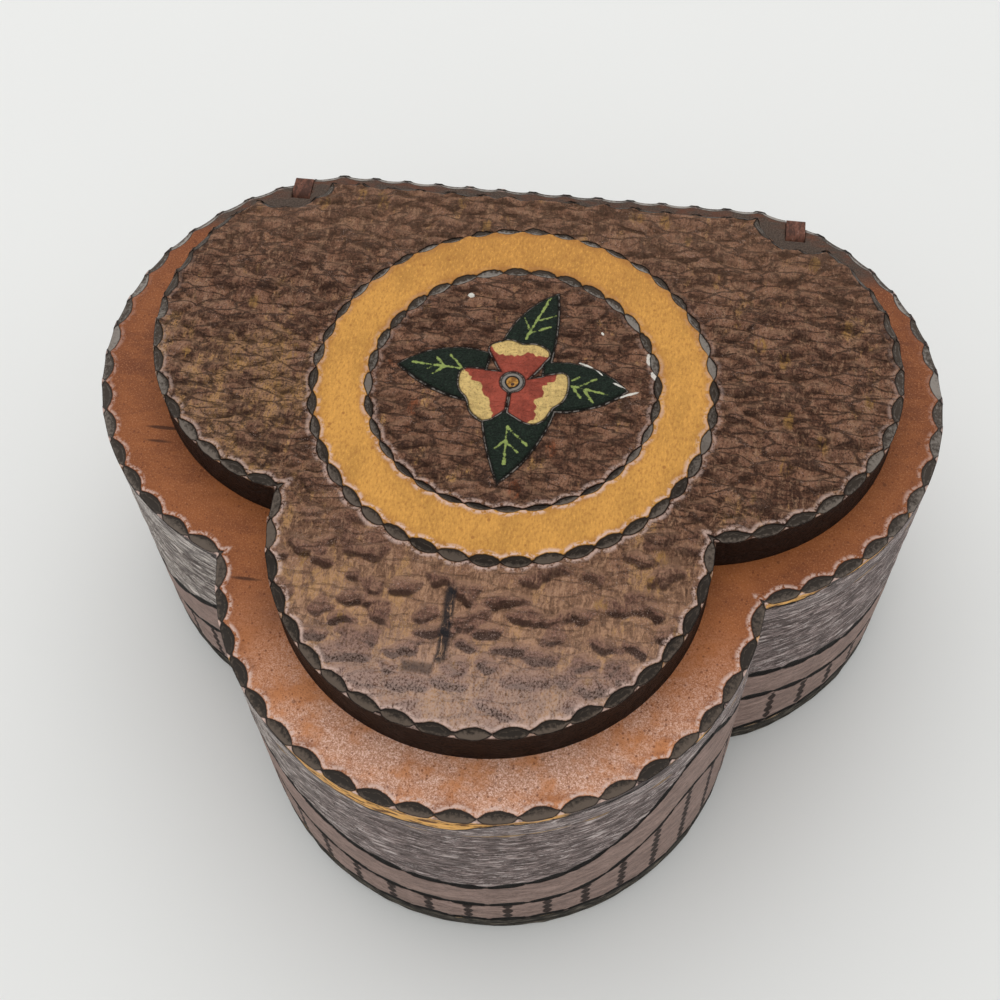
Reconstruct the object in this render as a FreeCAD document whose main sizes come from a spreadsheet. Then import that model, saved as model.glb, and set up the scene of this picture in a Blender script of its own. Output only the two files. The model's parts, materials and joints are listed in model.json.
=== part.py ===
import FreeCAD, Part
import math
import os

import Sketcher

# Trefoil trinket box with a wooden lid that turns on two pinned pegs.
#
# All lengths are millimetres.  Plan sizes are measured from the centre of the
# ring carved in the lid plaque; heights are measured from the underside of the
# bottom board.  +X is to the right, -Y is the front lobe, +Z is up.  The whole
# part is then shifted so that its origin lies under the middle of its box.

SIZES = [
    # outline of the walls and of the lid board
    ("left_radius", 42.8, "radius of the rear left lobe"),
    ("left_across", 29.2, "rear left lobe centre, left of the ring centre"),
    ("left_overrun", 1.0, "rear left circle, past the straight back edge"),
    ("right_radius", 42.1, "radius of the rear right lobe"),
    ("right_across", 28.9, "rear right lobe centre, right of the ring centre"),
    ("right_overrun", 1.2, "rear right circle, past the straight back edge"),
    ("front_radius", 43.6, "radius of the front lobe"),
    ("front_reach", 71.0, "tip of the front lobe, in front of the ring centre"),
    ("back_edge", 49.8, "straight back edge, behind the ring centre"),
    # heights
    ("bottom_thickness", 4.5, "bottom board"),
    ("wall_height", 44.7, "hollow body between the two boards"),
    ("wall_thickness", 8.5, "wall of the hollow body"),
    ("lid_gap", 0.3, "closed lid board above the top of the walls"),
    ("lid_thickness", 6.2, "lid board"),
    ("plaque_thickness", 8.6, "raised plaque glued on the lid board"),
    # plaque outline
    ("plaque_left_margin", 8.8, "plaque lobe smaller than the rear left lobe by"),
    ("plaque_left_shift", 1.3, "plaque lobe centre towards the middle, left"),
    ("plaque_left_overrun", 2.8, "plaque left circle, past the plaque's back edge"),
    ("plaque_right_margin", 8.3, "plaque lobe smaller than the rear right lobe by"),
    ("plaque_right_shift", -0.4, "plaque lobe centre towards the middle, right"),
    ("plaque_right_overrun", 1.5, "plaque right circle, past the plaque's back edge"),
    ("plaque_front_margin", 9.0, "plaque lobe smaller than the front lobe by"),
    ("plaque_front_step", 9.7, "lid board showing in front of the plaque"),
    ("plaque_back_step", 9.0, "lid board showing behind the plaque"),
    # ring on the plaque
    ("ring_outer_radius", 32.0, "outer groove of the ring"),
    ("ring_inner_radius", 24.0, "inner groove of the ring"),
    ("ring_groove_width", 1.6, "width of each groove"),
    ("ring_groove_depth", 0.6, "depth of each groove"),
    # the boldest gouge cuts of the bark
    ("cut_spacing", 12.0, "from one cut to the next in a row"),
    ("cut_row_spacing", 10.0, "from one row of cuts to the next"),
    ("cut_length", 8.0, "cut from end to end"),
    ("cut_radius", 5.0, "round front of a cut"),
    ("cut_depth", 0.7, "depth of a cut"),
    ("cut_margin", 1.5, "bark left round the cuts"),
    ("flower_radius", 10.0, "smooth middle of the ring, for the painted flower"),
    # hinge
    ("cheek_thickness", 2.6, "lid board left between each slot and the rim"),
    ("peg_width", 3.4, "hinge peg along the axis"),
    ("peg_round", 1.9, "round front of the peg's head about the axis"),
    ("peg_back", 3.0, "peg's head behind the axis"),
    ("peg_corner", 0.8, "round rear corner of the peg's head"),
    ("tenon_back", 0.85, "tenon's rear face behind the axis"),
    ("tenon_length", 14.0, "tenon let into the wall"),
    ("slot_clearance", 0.3, "lid slot round the peg, each side"),
    ("axis_depth", 1.75, "hinge axis below the top of the lid board"),
    ("pin_radius", 0.6, "hinge pin"),
    ("pin_clearance", 0.05, "peg's hole round the pin, in radius"),
    ("pin_inside", 9.0, "pin driven past the slot, towards the middle"),
    ("pin_outside", 1.3, "pin held in the cheek outside the slot"),
    ("bite_radius", 8.2, "plaque cut back round each peg"),
    ("bite_outwards", 0.6, "bite centre, outside the peg's middle"),
    ("bite_forwards", 2.9, "bite centre, in front of the hinge axis"),
]

doc = FreeCAD.newDocument("trefoil_box")
sheet = doc.addObject("Spreadsheet::Sheet", "Sizes")
for row, (alias, value, meaning) in enumerate(SIZES, start=1):
    sheet.set("A%d" % row, meaning)
    sheet.set("B%d" % row, str(value))
    sheet.setAlias("B%d" % row, alias)
doc.recompute()


class Size:
    """A length that knows its value now and the expression it comes from."""

    def __init__(self, value, text):
        self.value = value
        self.text = text

    def __add__(self, other):
        return Size(self.value + other.value, "%s + %s" % (self.text, other.text))

    def __sub__(self, other):
        return Size(self.value - other.value, "%s - (%s)" % (self.text, other.text))

    def __neg__(self):
        return Size(-self.value, "-(%s)" % self.text)

    def times(self, factor):
        return Size(self.value * factor, "(%s) * %s" % (self.text, factor))

    def squared(self):
        return Size(self.value ** 2, "(%s) ^ 2" % self.text)

    def root(self):
        return Size(math.sqrt(self.value), "sqrt(%s)" % self.text)


def size(alias):
    return Size(float(sheet.get(alias)), "Sizes.%s" % alias)


ZERO = Size(0.0, "0")
LEFT, RIGHT = -1, 1
SIDE_NAMES = {LEFT: "left", RIGHT: "right"}

# heights of the faces that the pieces share
WALL_TOP = size("bottom_thickness") + size("wall_height")
LID_BOTTOM = WALL_TOP + size("lid_gap")
LID_TOP = LID_BOTTOM + size("lid_thickness")

# hinge axis: the lid's back edge is rounded about it, down to its underside
BACK_ROUND = size("lid_thickness") - size("axis_depth")
AXIS_Y = size("back_edge") - BACK_ROUND
AXIS_Z = LID_BOTTOM + BACK_ROUND
SLOT_HALF = size("peg_width").times(0.5) + size("slot_clearance")


def rim_at_axis(side):
    """How far from the middle the rim of a rear lobe lies, level with the axis."""
    name = SIDE_NAMES[side]
    radius = size(name + "_radius")
    behind = radius - size(name + "_overrun") - BACK_ROUND
    return size(name + "_across") + (radius.squared() - behind.squared()).root()


# middle of each peg, from the middle of the box
PEG_ACROSS = {side: rim_at_axis(side) - size("cheek_thickness") - SLOT_HALF
              for side in SIDE_NAMES}

# shift that brings the middle of the whole part over the origin
LEFT_REACH = size("left_across") + size("left_radius")
RIGHT_REACH = size("right_across") + size("right_radius")
SHIFT_X = LEFT_REACH.times(0.5) - RIGHT_REACH.times(0.5)
SHIFT_Y = size("front_reach").times(0.5) - size("back_edge").times(0.5)

PIECES = []


def new_body(label, level):
    """A body whose own zero is the ring centre, at the height `level`."""
    body = doc.addObject("PartDesign::Body", label)
    body.Label = label
    body.setExpression("Placement.Base.x", SHIFT_X.text)
    body.setExpression("Placement.Base.y", SHIFT_Y.text)
    body.setExpression("Placement.Base.z", level.text)
    PIECES.append(body)
    return body


def new_sketch(body, name, plane, lift=None):
    """A sketch on one of the body's origin planes, lifted along its normal."""
    sketch = body.newObject("Sketcher::SketchObject", name)
    base = [f for f in body.Origin.OriginFeatures if f.Role == plane][0]
    sketch.AttachmentSupport = [(base, "")]
    sketch.MapMode = "FlatFace"
    if lift is not None:
        sketch.setExpression("AttachmentOffset.Base.z", lift.text)
    return sketch


def bind(sketch, kind, place, target):
    """Adds a dimension that stays bound to the sheet."""
    index = sketch.addConstraint(Sketcher.Constraint(kind, *place, target.value))
    sketch.setExpression("Constraints[%d]" % index, target.text)


def pin_point(sketch, curve, vertex, x, y):
    """Holds one point of a curve at (x, y) from the sketch's zero."""
    bind(sketch, "DistanceX", (-1, 1, curve, vertex), x)
    bind(sketch, "DistanceY", (-1, 1, curve, vertex), y)


def add_loop(sketch, corners, arcs=None):
    """A closed loop of corners, each bound to the sheet.

    `arcs` gives the arc that leaves a corner, by the corner's number, as the
    arc's centre and radius; it runs counterclockwise to the next corner.
    """
    arcs = arcs or {}
    first = len(sketch.Geometry)
    count = len(corners)
    points = [FreeCAD.Vector(x.value, y.value, 0) for x, y in corners]
    for i, here in enumerate(points):
        there = points[(i + 1) % count]
        if i in arcs:
            x, y, radius = (item.value for item in arcs[i])
            circle = Part.Circle(FreeCAD.Vector(x, y, 0), FreeCAD.Vector(0, 0, 1), radius)
            begin = math.atan2(here.y - y, here.x - x)
            finish = math.atan2(there.y - y, there.x - x)
            if finish < begin:
                finish += 2 * math.pi
            sketch.addGeometry(Part.ArcOfCircle(circle, begin, finish), False)
        else:
            sketch.addGeometry(Part.LineSegment(here, there), False)
    for i, (x, y) in enumerate(corners):
        following = first + (i + 1) % count
        sketch.addConstraint(
            Sketcher.Constraint("Coincident", first + i, 2, following, 1))
        pin_point(sketch, first + i, 1, x, y)
        if i in arcs:
            bind(sketch, "Radius", (first + i,), arcs[i][2])


def add_circle(sketch, x, y, radius):
    """A circle whose centre and radius are bound to the sheet."""
    centre = FreeCAD.Vector(x.value, y.value, 0)
    circle = Part.Circle(centre, FreeCAD.Vector(0, 0, 1), radius.value)
    index = sketch.addGeometry(circle, False)
    pin_point(sketch, index, 3, x, y)
    bind(sketch, "Radius", (index,), radius)


def circle_crossing(one, other, outward):
    """Crossing of two (x, y, radius) circles that lies furthest along outward."""
    dx, dy = other[0] - one[0], other[1] - one[1]
    apart = math.hypot(dx, dy)
    along = (apart ** 2 + one[2] ** 2 - other[2] ** 2) / (2 * apart)
    aside = math.sqrt(one[2] ** 2 - along ** 2)
    middle = (one[0] + along * dx / apart, one[1] + along * dy / apart)
    found = [(middle[0] + s * aside * dy / apart, middle[1] - s * aside * dx / apart)
             for s in (-1, 1)]
    return max(found, key=lambda p: p[0] * outward[0] + p[1] * outward[1])


def add_trefoil(sketch, left, right, front, back):
    """Three arcs and a straight back edge; each lobe is (x, y, radius)."""
    lobes = [tuple(item.value for item in lobe) for lobe in (left, right, front)]
    (lx, ly, lr), (rx, ry, rr), _ = lobes
    back_left = (lx - math.sqrt(lr ** 2 - (back.value - ly) ** 2), back.value)
    back_right = (rx + math.sqrt(rr ** 2 - (back.value - ry) ** 2), back.value)
    left_nick = circle_crossing(lobes[0], lobes[2], (-1, -1))
    right_nick = circle_crossing(lobes[1], lobes[2], (1, -1))

    def arc(lobe, start, end):
        x, y, radius = (item.value for item in lobe)
        circle = Part.Circle(FreeCAD.Vector(x, y, 0), FreeCAD.Vector(0, 0, 1), radius)
        first = math.atan2(start[1] - y, start[0] - x)
        last = math.atan2(end[1] - y, end[0] - x)
        if last < first:
            last += 2 * math.pi
        return sketch.addGeometry(Part.ArcOfCircle(circle, first, last), False)

    left_arc = arc(left, back_left, left_nick)
    front_arc = arc(front, left_nick, right_nick)
    right_arc = arc(right, right_nick, back_right)
    edge = sketch.addGeometry(Part.LineSegment(
        FreeCAD.Vector(*back_right, 0), FreeCAD.Vector(*back_left, 0)), False)
    loop = (left_arc, front_arc, right_arc, edge)
    for here, there in zip(loop, loop[1:] + loop[:1]):
        sketch.addConstraint(Sketcher.Constraint("Coincident", here, 2, there, 1))
    sketch.addConstraint(Sketcher.Constraint("Horizontal", edge))
    for index, (x, y, radius) in zip(loop, (left, front, right)):
        pin_point(sketch, index, 3, x, y)
        bind(sketch, "Radius", (index,), radius)
    bind(sketch, "DistanceY", (-1, 1, edge, 1), back)


def wall_outline(inset=ZERO):
    """Lobes and back edge of the walls, moved inwards by `inset`."""
    lobes = {}
    for side, name in SIDE_NAMES.items():
        radius = size(name + "_radius")
        centre_x = size(name + "_across").times(side)
        centre_y = size("back_edge") + size(name + "_overrun") - radius
        lobes[name] = (centre_x, centre_y, radius - inset)
    front = (ZERO, size("front_radius") - size("front_reach"),
             size("front_radius") - inset)
    return lobes["left"], lobes["right"], front, size("back_edge") - inset


def plaque_outline():
    """Lobes and back edge of the plaque, set in from those of the lid board."""
    back = size("back_edge") - size("plaque_back_step")
    lobes = {}
    for side, name in SIDE_NAMES.items():
        radius = size(name + "_radius") - size("plaque_%s_margin" % name)
        centre_x = size(name + "_across") - size("plaque_%s_shift" % name)
        centre_y = back + size("plaque_%s_overrun" % name) - radius
        lobes[name] = (centre_x.times(side), centre_y, radius)
    radius = size("front_radius") - size("plaque_front_margin")
    centre_y = radius + size("plaque_front_step") - size("front_reach")
    return lobes["left"], lobes["right"], (ZERO, centre_y, radius), back


def pad(body, sketch, name, height):
    """Pads along the sketch's normal."""
    feature = body.newObject("PartDesign::Pad", name)
    feature.Profile = sketch
    feature.setExpression("Length", height.text)
    doc.recompute()


def pad_across(body, sketch, name, width):
    """Pads half of `width` to each side of the sketch's plane."""
    feature = body.newObject("PartDesign::Pad", name)
    feature.Profile = sketch
    feature.SideType = "Symmetric"
    feature.setExpression("Length", width.text)
    doc.recompute()


def pocket(body, sketch, name, depth, symmetric=False, forwards=False):
    """Cuts a pocket against the sketch's normal, or along it if `forwards`."""
    before = body.Tip.Shape.Volume
    feature = body.newObject("PartDesign::Pocket", name)
    feature.Profile = sketch
    feature.setExpression("Length", depth.text)
    if symmetric:
        feature.SideType = "Symmetric"
    feature.Reversed = forwards
    doc.recompute()
    if feature.Shape.Volume >= before:
        raise RuntimeError("%s cuts nothing" % name)


def make_bottom_board():
    """Flat board of the same outline as the walls that stand on it."""
    body = new_body("bottom_board", ZERO)
    sketch = new_sketch(body, "bottom_outline", "XY_Plane")
    add_trefoil(sketch, *wall_outline())
    pad(body, sketch, "bottom_pad", size("bottom_thickness"))


def make_box_body():
    """Hollow walls with a mortise in the back wall for each peg's tenon."""
    height = size("wall_height")
    body = new_body("box_body", size("bottom_thickness"))
    outside = new_sketch(body, "wall_outside", "XY_Plane")
    add_trefoil(outside, *wall_outline())
    pad(body, outside, "wall_pad", height)
    inside = new_sketch(body, "wall_inside", "XY_Plane")
    add_trefoil(inside, *wall_outline(size("wall_thickness")))
    pocket(body, inside, "wall_hollow", height, forwards=True)
    half = size("peg_width").times(0.5)
    for side, name in SIDE_NAMES.items():
        middle = PEG_ACROSS[side].times(side)
        mortise = new_sketch(body, "mortise_%s_outline" % name, "XY_Plane", height)
        front = AXIS_Y - size("peg_round")
        back = AXIS_Y + size("tenon_back")
        add_loop(mortise, [(middle - half, front), (middle + half, front),
                           (middle + half, back), (middle - half, back)])
        pocket(body, mortise, "mortise_%s" % name, size("tenon_length"))


def make_hinge_peg(side):
    """Upright tongue: tenon in the wall, head with the pin's hole above it."""
    name = SIDE_NAMES[side]
    body = new_body("hinge_peg_" + name, WALL_TOP)
    body.setExpression("Placement.Base.x", (SHIFT_X + PEG_ACROSS[side].times(side)).text)
    profile = new_sketch(body, "peg_%s_profile" % name, "YZ_Plane")
    axis_z = size("lid_gap") + BACK_ROUND
    front_round = size("peg_round")
    corner = size("peg_corner")
    top = axis_z + front_round
    front = AXIS_Y - front_round
    back = AXIS_Y + size("peg_back")
    tenon_back = AXIS_Y + size("tenon_back")
    foot = -size("tenon_length")
    corners = [(front, foot), (tenon_back, foot), (tenon_back, ZERO), (back, ZERO),
               (back, top - corner), (back - corner, top), (AXIS_Y, top), (front, axis_z)]
    arcs = {4: (back - corner, top - corner, corner), 6: (AXIS_Y, axis_z, front_round)}
    add_loop(profile, corners, arcs)
    pad_across(body, profile, "peg_%s_pad" % name, size("peg_width"))
    hole = new_sketch(body, "peg_%s_hole" % name, "YZ_Plane")
    add_circle(hole, AXIS_Y, axis_z, size("pin_radius") + size("pin_clearance"))
    pocket(body, hole, "peg_%s_bore" % name, size("peg_width").times(2.0), symmetric=True)


def pin_span(side):
    """Inner and outer end of a hinge pin, measured from the middle."""
    inner = PEG_ACROSS[side] - SLOT_HALF - size("pin_inside")
    outer = PEG_ACROSS[side] + SLOT_HALF + size("pin_outside")
    return inner, outer


def make_hinge_pin(side):
    """Plain wire through the peg, held in the lid board on both sides of it."""
    name = SIDE_NAMES[side]
    inner, outer = pin_span(side)
    middle = (inner + outer).times(0.5)
    body = new_body("hinge_pin_" + name, AXIS_Z)
    body.setExpression("Placement.Base.x", (SHIFT_X + middle.times(side)).text)
    sketch = new_sketch(body, "pin_%s_outline" % name, "YZ_Plane")
    add_circle(sketch, AXIS_Y, ZERO, size("pin_radius"))
    pad_across(body, sketch, "pin_%s_pad" % name, outer - inner)


def make_lid_board():
    """Board with a slot round each peg, pin holes and a rounded back edge."""
    thickness = size("lid_thickness")
    body = new_body("lid_board", LID_BOTTOM)
    outline = new_sketch(body, "lid_outline", "XY_Plane")
    add_trefoil(outline, *wall_outline())
    pad(body, outline, "lid_pad", thickness)

    # anywhere clear of the back edge
    beyond = size("back_edge") + thickness
    for side, name in SIDE_NAMES.items():
        middle = PEG_ACROSS[side].times(side)
        front = AXIS_Y - size("peg_round") - size("slot_clearance")
        slot = new_sketch(body, "slot_%s_outline" % name, "XY_Plane")
        add_loop(slot, [(middle - SLOT_HALF, front), (middle + SLOT_HALF, front),
                        (middle + SLOT_HALF, beyond), (middle - SLOT_HALF, beyond)])
        pocket(body, slot, "slot_%s" % name, thickness, forwards=True)

    # the quarter round under the back edge lets the lid swing past the wall
    rounding = new_sketch(body, "back_round_profile", "YZ_Plane")
    below = -thickness
    corners = [(AXIS_Y, ZERO), (size("back_edge"), BACK_ROUND), (beyond, BACK_ROUND),
               (beyond, below), (AXIS_Y, below)]
    add_loop(rounding, corners, {0: (AXIS_Y, BACK_ROUND, BACK_ROUND)})
    width = LEFT_REACH + RIGHT_REACH
    pocket(body, rounding, "back_round", width.times(2.0), symmetric=True)

    for side, name in SIDE_NAMES.items():
        # drilled in through the rim, as far as the pin's inner end
        inner = pin_span(side)[0]
        hole = new_sketch(body, "pin_hole_%s_outline" % name, "YZ_Plane",
                          inner.times(side))
        add_circle(hole, AXIS_Y, BACK_ROUND, size("pin_radius"))
        pocket(body, hole, "pin_hole_%s" % name, rim_at_axis(side) - inner,
               forwards=(side == RIGHT))


def on_bark(x, y):
    """Whether (x, y) lies on bark, clear of the plaque's edges, the ring and the flower."""
    left, right, front, back = plaque_outline()
    margin = size("cut_margin").value
    inside = any(lobe[2].value - math.hypot(x - lobe[0].value, y - lobe[1].value) > margin
                 for lobe in (left, right, front))
    for side in (LEFT, RIGHT):
        across = side * (PEG_ACROSS[side] + size("bite_outwards")).value
        axis = (AXIS_Y - size("bite_forwards")).value
        if math.hypot(x - across, y - axis) < size("bite_radius").value + margin:
            inside = False
    out = math.hypot(x, y)
    edge = size("ring_groove_width").value / 2 + margin
    ring = (size("ring_inner_radius").value - edge, size("ring_outer_radius").value + edge)
    clear = out > ring[1] or size("flower_radius").value < out < ring[0]
    return inside and clear and y < back.value - margin


def cut_bark(body, level):
    """Rows of gouge cuts, every other row set over by half the spacing.

    A cut has a straight back and a round front. Those that would run over an edge
    of the bark are left out.
    """
    half = size("cut_length").times(0.5)
    radius = size("cut_radius")
    rise = (radius.squared() - half.squared()).root()
    spacing, row_spacing = size("cut_spacing"), size("cut_row_spacing")
    reach = size("front_reach").value
    rows, columns = int(reach / row_spacing.value), int(reach / spacing.value)
    for row in range(-rows, rows + 1):
        y = row_spacing.times(row)
        front = y.value + rise.value - radius.value
        loops = []
        for column in range(-columns, columns + 1):
            x = spacing.times(column + 0.5 * (row % 2))
            spots = [(x.value - half.value, y.value), (x.value, front),
                     (x.value + half.value, y.value)]
            if all(on_bark(*spot) for spot in spots):
                loops.append(x)
        if not loops:
            continue
        name = "cut_row_%s%d" % ("back" if row >= 0 else "front", abs(row))
        outline = new_sketch(body, name + "_outline", "XY_Plane", level)
        for x in loops:
            add_loop(outline, [(x - half, y), (x + half, y)], {0: (x, y + rise, radius)})
        pocket(body, outline, name, size("cut_depth"))


def make_lid_plaque():
    """Raised plaque, cut back round the pegs, with the ring's grooves and gouged bark."""
    body = new_body("lid_plaque", LID_TOP)
    outline = new_sketch(body, "plaque_outline", "XY_Plane")
    add_trefoil(outline, *plaque_outline())
    thickness = size("plaque_thickness")
    pad(body, outline, "plaque_pad", thickness)
    for side, name in SIDE_NAMES.items():
        bite = new_sketch(body, "bite_%s_outline" % name, "XY_Plane")
        across = PEG_ACROSS[side] + size("bite_outwards")
        add_circle(bite, across.times(side), AXIS_Y - size("bite_forwards"),
                   size("bite_radius"))
        pocket(body, bite, "bite_%s" % name, thickness, forwards=True)
    half = size("ring_groove_width").times(0.5)
    for name in ("outer", "inner"):
        radius = size("ring_%s_radius" % name)
        profile = new_sketch(body, "ring_%s_profile" % name, "XZ_Plane")
        add_loop(profile, [(radius - half, thickness), (radius + half, thickness),
                           (radius, thickness - size("ring_groove_depth"))])
        before = body.Tip.Shape.Volume
        groove = body.newObject("PartDesign::Groove", "ring_%s_groove" % name)
        groove.Profile = profile
        groove.ReferenceAxis = (profile, ["V_Axis"])
        groove.Angle = 360
        doc.recompute()
        if groove.Shape.Volume >= before:
            raise RuntimeError("the %s ring groove cuts nothing" % name)
    cut_bark(body, thickness)


make_bottom_board()
make_box_body()
for each_side in (LEFT, RIGHT):
    make_hinge_peg(each_side)
    make_hinge_pin(each_side)
make_lid_board()
make_lid_plaque()
doc.recompute()

for item in doc.Objects:
    if "Invalid" in item.State or "Error" in item.State:
        raise RuntimeError("%s did not rebuild: %s" % (item.Name, item.State))
os.makedirs("parts", exist_ok=True)
for piece in PIECES:
    shape = piece.Shape
    if shape.isNull() or not shape.isValid():
        raise RuntimeError("%s has no valid shape" % piece.Label)
    if len(shape.Solids) != 1:
        raise RuntimeError("%s is not one solid" % piece.Label)
    shape.exportStep("parts/%s.step" % piece.Label)
    box = shape.BoundBox
    print("%-16s volume %9.1f  x %.2f..%.2f  y %.2f..%.2f  z %.2f..%.2f" % (
        piece.Label, shape.Volume, box.XMin, box.XMax, box.YMin, box.YMax,
        box.ZMin, box.ZMax))
print("hinge axis y %.3f z %.3f" % ((AXIS_Y + SHIFT_Y).value, AXIS_Z.value))
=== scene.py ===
"""A lobed trinket box of gouged, stained and burnt wood, with a pegged lid and a painted plaque."""

import json
import math
from types import SimpleNamespace

import bpy
import numpy as np
from bpy.props import FloatProperty, FloatVectorProperty, PointerProperty
from mathutils import Euler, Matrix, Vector


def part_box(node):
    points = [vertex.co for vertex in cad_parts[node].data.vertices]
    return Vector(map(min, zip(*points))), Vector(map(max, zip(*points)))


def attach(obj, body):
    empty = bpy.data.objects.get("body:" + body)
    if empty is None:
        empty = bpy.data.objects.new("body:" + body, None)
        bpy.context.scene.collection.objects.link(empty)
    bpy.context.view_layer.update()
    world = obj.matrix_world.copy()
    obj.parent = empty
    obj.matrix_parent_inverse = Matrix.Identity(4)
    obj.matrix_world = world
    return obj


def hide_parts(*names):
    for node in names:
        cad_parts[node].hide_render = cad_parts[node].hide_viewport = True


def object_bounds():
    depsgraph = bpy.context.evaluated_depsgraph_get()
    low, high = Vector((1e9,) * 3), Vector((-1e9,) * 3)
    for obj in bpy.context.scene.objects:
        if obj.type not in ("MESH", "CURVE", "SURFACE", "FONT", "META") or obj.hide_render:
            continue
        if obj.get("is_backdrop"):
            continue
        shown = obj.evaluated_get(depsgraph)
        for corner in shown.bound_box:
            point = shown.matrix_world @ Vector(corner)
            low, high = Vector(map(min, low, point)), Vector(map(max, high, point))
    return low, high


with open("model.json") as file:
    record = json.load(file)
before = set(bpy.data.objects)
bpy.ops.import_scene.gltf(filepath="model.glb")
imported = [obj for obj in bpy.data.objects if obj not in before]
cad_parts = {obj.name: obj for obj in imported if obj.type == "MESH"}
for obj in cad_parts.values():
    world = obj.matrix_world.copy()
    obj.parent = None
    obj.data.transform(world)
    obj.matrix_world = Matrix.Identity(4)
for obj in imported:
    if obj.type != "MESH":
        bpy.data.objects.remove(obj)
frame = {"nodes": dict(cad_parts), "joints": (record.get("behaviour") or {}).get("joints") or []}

bl_info = {
    "name": "Lobed trinket box",
    "version": (1, 0, 0),
    "blender": (4, 5, 0),
    "location": "View3D > Sidebar > Trinket box",
    "description": "Gouged and burnt wooden trinket box with three lobes and a pegged lid",
    "category": "Object",
}

MM = 0.001
TURN = 2 * math.pi

# Levels of the solid pieces, in millimetres above the ground.
FOOT_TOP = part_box("bottom_board")[1].z / MM
WALL_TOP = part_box("box_body")[1].z / MM
LID_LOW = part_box("lid_board")[0].z / MM
LID_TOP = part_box("lid_board")[1].z / MM
PLAQUE_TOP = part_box("lid_plaque")[1].z / MM
HINGE_Y = frame["joints"][0]["pos_m"][1] / MM
HINGE_Z = frame["joints"][0]["pos_m"][2] / MM
PEG_BOX = {side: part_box("hinge_peg_" + side) for side in ("left", "right")}


def length(name, millimetres, description):
    """A size that a user may change, shown in scene units."""
    return FloatProperty(name=name, description=description, default=millimetres * MM,
                         unit="LENGTH", precision=4)


def colour(name, red, green, blue, description):
    """A linear colour that a user may change."""
    return FloatVectorProperty(name=name, description=description, subtype="COLOR",
                               size=3, min=0.0, max=1.0, default=(red, green, blue))


class BoxOutline(bpy.types.PropertyGroup):
    """Lobes of the walls and of the plaque, measured from the middle of the ring."""

    ring_x: length("Ring to the right", 0.5, "Middle of the ring, right of the box's middle")
    ring_y: length("Ring to the back", 10.6, "Middle of the ring, behind the box's middle")
    left_x: length("Left lobe across", -29.2, "Centre of the left lobe")
    left_y: length("Left lobe back", 8.0, "Centre of the left lobe")
    left_radius: length("Left lobe radius", 42.8, "Radius of the left lobe")
    right_x: length("Right lobe across", 28.9, "Centre of the right lobe")
    right_y: length("Right lobe back", 8.9, "Centre of the right lobe")
    right_radius: length("Right lobe radius", 42.1, "Radius of the right lobe")
    front_y: length("Front lobe forward", -27.4, "Centre of the front lobe")
    front_radius: length("Front lobe radius", 43.6, "Radius of the front lobe")
    back: length("Back edge", 49.8, "Straight back edge")
    wall: length("Wall", 8.5, "Thickness of the hollow wall")
    plaque_left_x: length("Plaque left across", -27.9, "Centre of the plaque's left lobe")
    plaque_left_y: length("Plaque left back", 9.6, "Centre of the plaque's left lobe")
    plaque_left_radius: length("Plaque left radius", 34.0, "Plaque's left lobe")
    plaque_right_x: length("Plaque right across", 29.3, "Centre of the plaque's right lobe")
    plaque_right_y: length("Plaque right back", 8.5, "Centre of the plaque's right lobe")
    plaque_right_radius: length("Plaque right radius", 33.8, "Plaque's right lobe")
    plaque_front_y: length("Plaque front forward", -26.7, "Plaque's front lobe centre")
    plaque_front_radius: length("Plaque front radius", 34.6, "Plaque's front lobe")
    plaque_back: length("Plaque back edge", 40.8, "Plaque's straight back edge")
    bite_radius: length("Bite radius", 8.2, "Plaque cut back round each hinge peg")
    bite_outwards: length("Bite outwards", 0.6, "Bite's centre outside the peg")
    bite_forwards: length("Bite forwards", 2.9, "Bite's centre in front of the hinge axis")


class Carving(bpy.types.PropertyGroup):
    """Gouge cuts, burnt notches and lines."""

    notch_pitch: length("Notch pitch", 6.0, "Length of one burnt notch on the lid's rim")
    notch_half: length("Notch half width", 1.2, "Half the width of a notch on the lid's rim")
    notch_depth: length("Notch depth", 0.5, "Depth of a notch")
    rim_row: length("Rim row", 0.6, "Row of notches, in from the lid's edge")
    plaque_pitch: length("Plaque pitch", 5.6, "Length of a notch on the plaque's rim")
    plaque_half: length("Plaque half width", 1.08, "Half the width of a notch on the plaque's rim")
    plaque_row: length("Plaque row", 0.55, "Row of notches, in from the plaque's edge")
    ring_outer: length("Ring outside", 32.7, "Outer row of notches round the ring")
    outer_pitch: length("Ring outside pitch", 4.95, "Length of a notch of the outer row")
    outer_half: length("Ring outside half width", 0.78, "Half the width of a notch, outer row")
    ring_inner: length("Ring inside", 23.6, "Inner row of notches round the ring")
    inner_pitch: length("Ring inside pitch", 4.6, "Length of a notch of the inner row")
    inner_half: length("Ring inside half width", 0.62, "Half the width of a notch, inner row")
    scale_width: length("Bark lump width", 4.3, "Spacing of the bark's lumps, left to right")
    scale_length: length("Bark lump length", 2.9, "Spacing of the bark's lumps, front to back")
    bark_depth: length("Bark depth", 0.8, "Depth of the bark's relief")
    gouge_width: length("Wall cut width", 4.6, "Spacing of the wall's cuts along the wall")
    gouge_height: length("Wall cut height", 1.7, "Spacing of the wall's cuts up the wall")
    gouge_depth: length("Wall cut depth", 0.24, "Depth of the cuts in the wall")
    foot_line: length("Foot line", 50.5, "Lowest burnt line, below the lid's top")
    stroke_half: length("Stroke half width", 1.0, "Half the width of a burnt stroke")
    dash_pitch: length("Dash", 6.8, "Length of one stroke in the burnt lines")
    bar_pitch: length("Bar spacing", 6.8, "Spacing of the upright burnt bars")
    lip: length("Lip line", 2.0, "Thin line round the lid's side, below its top")


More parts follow.
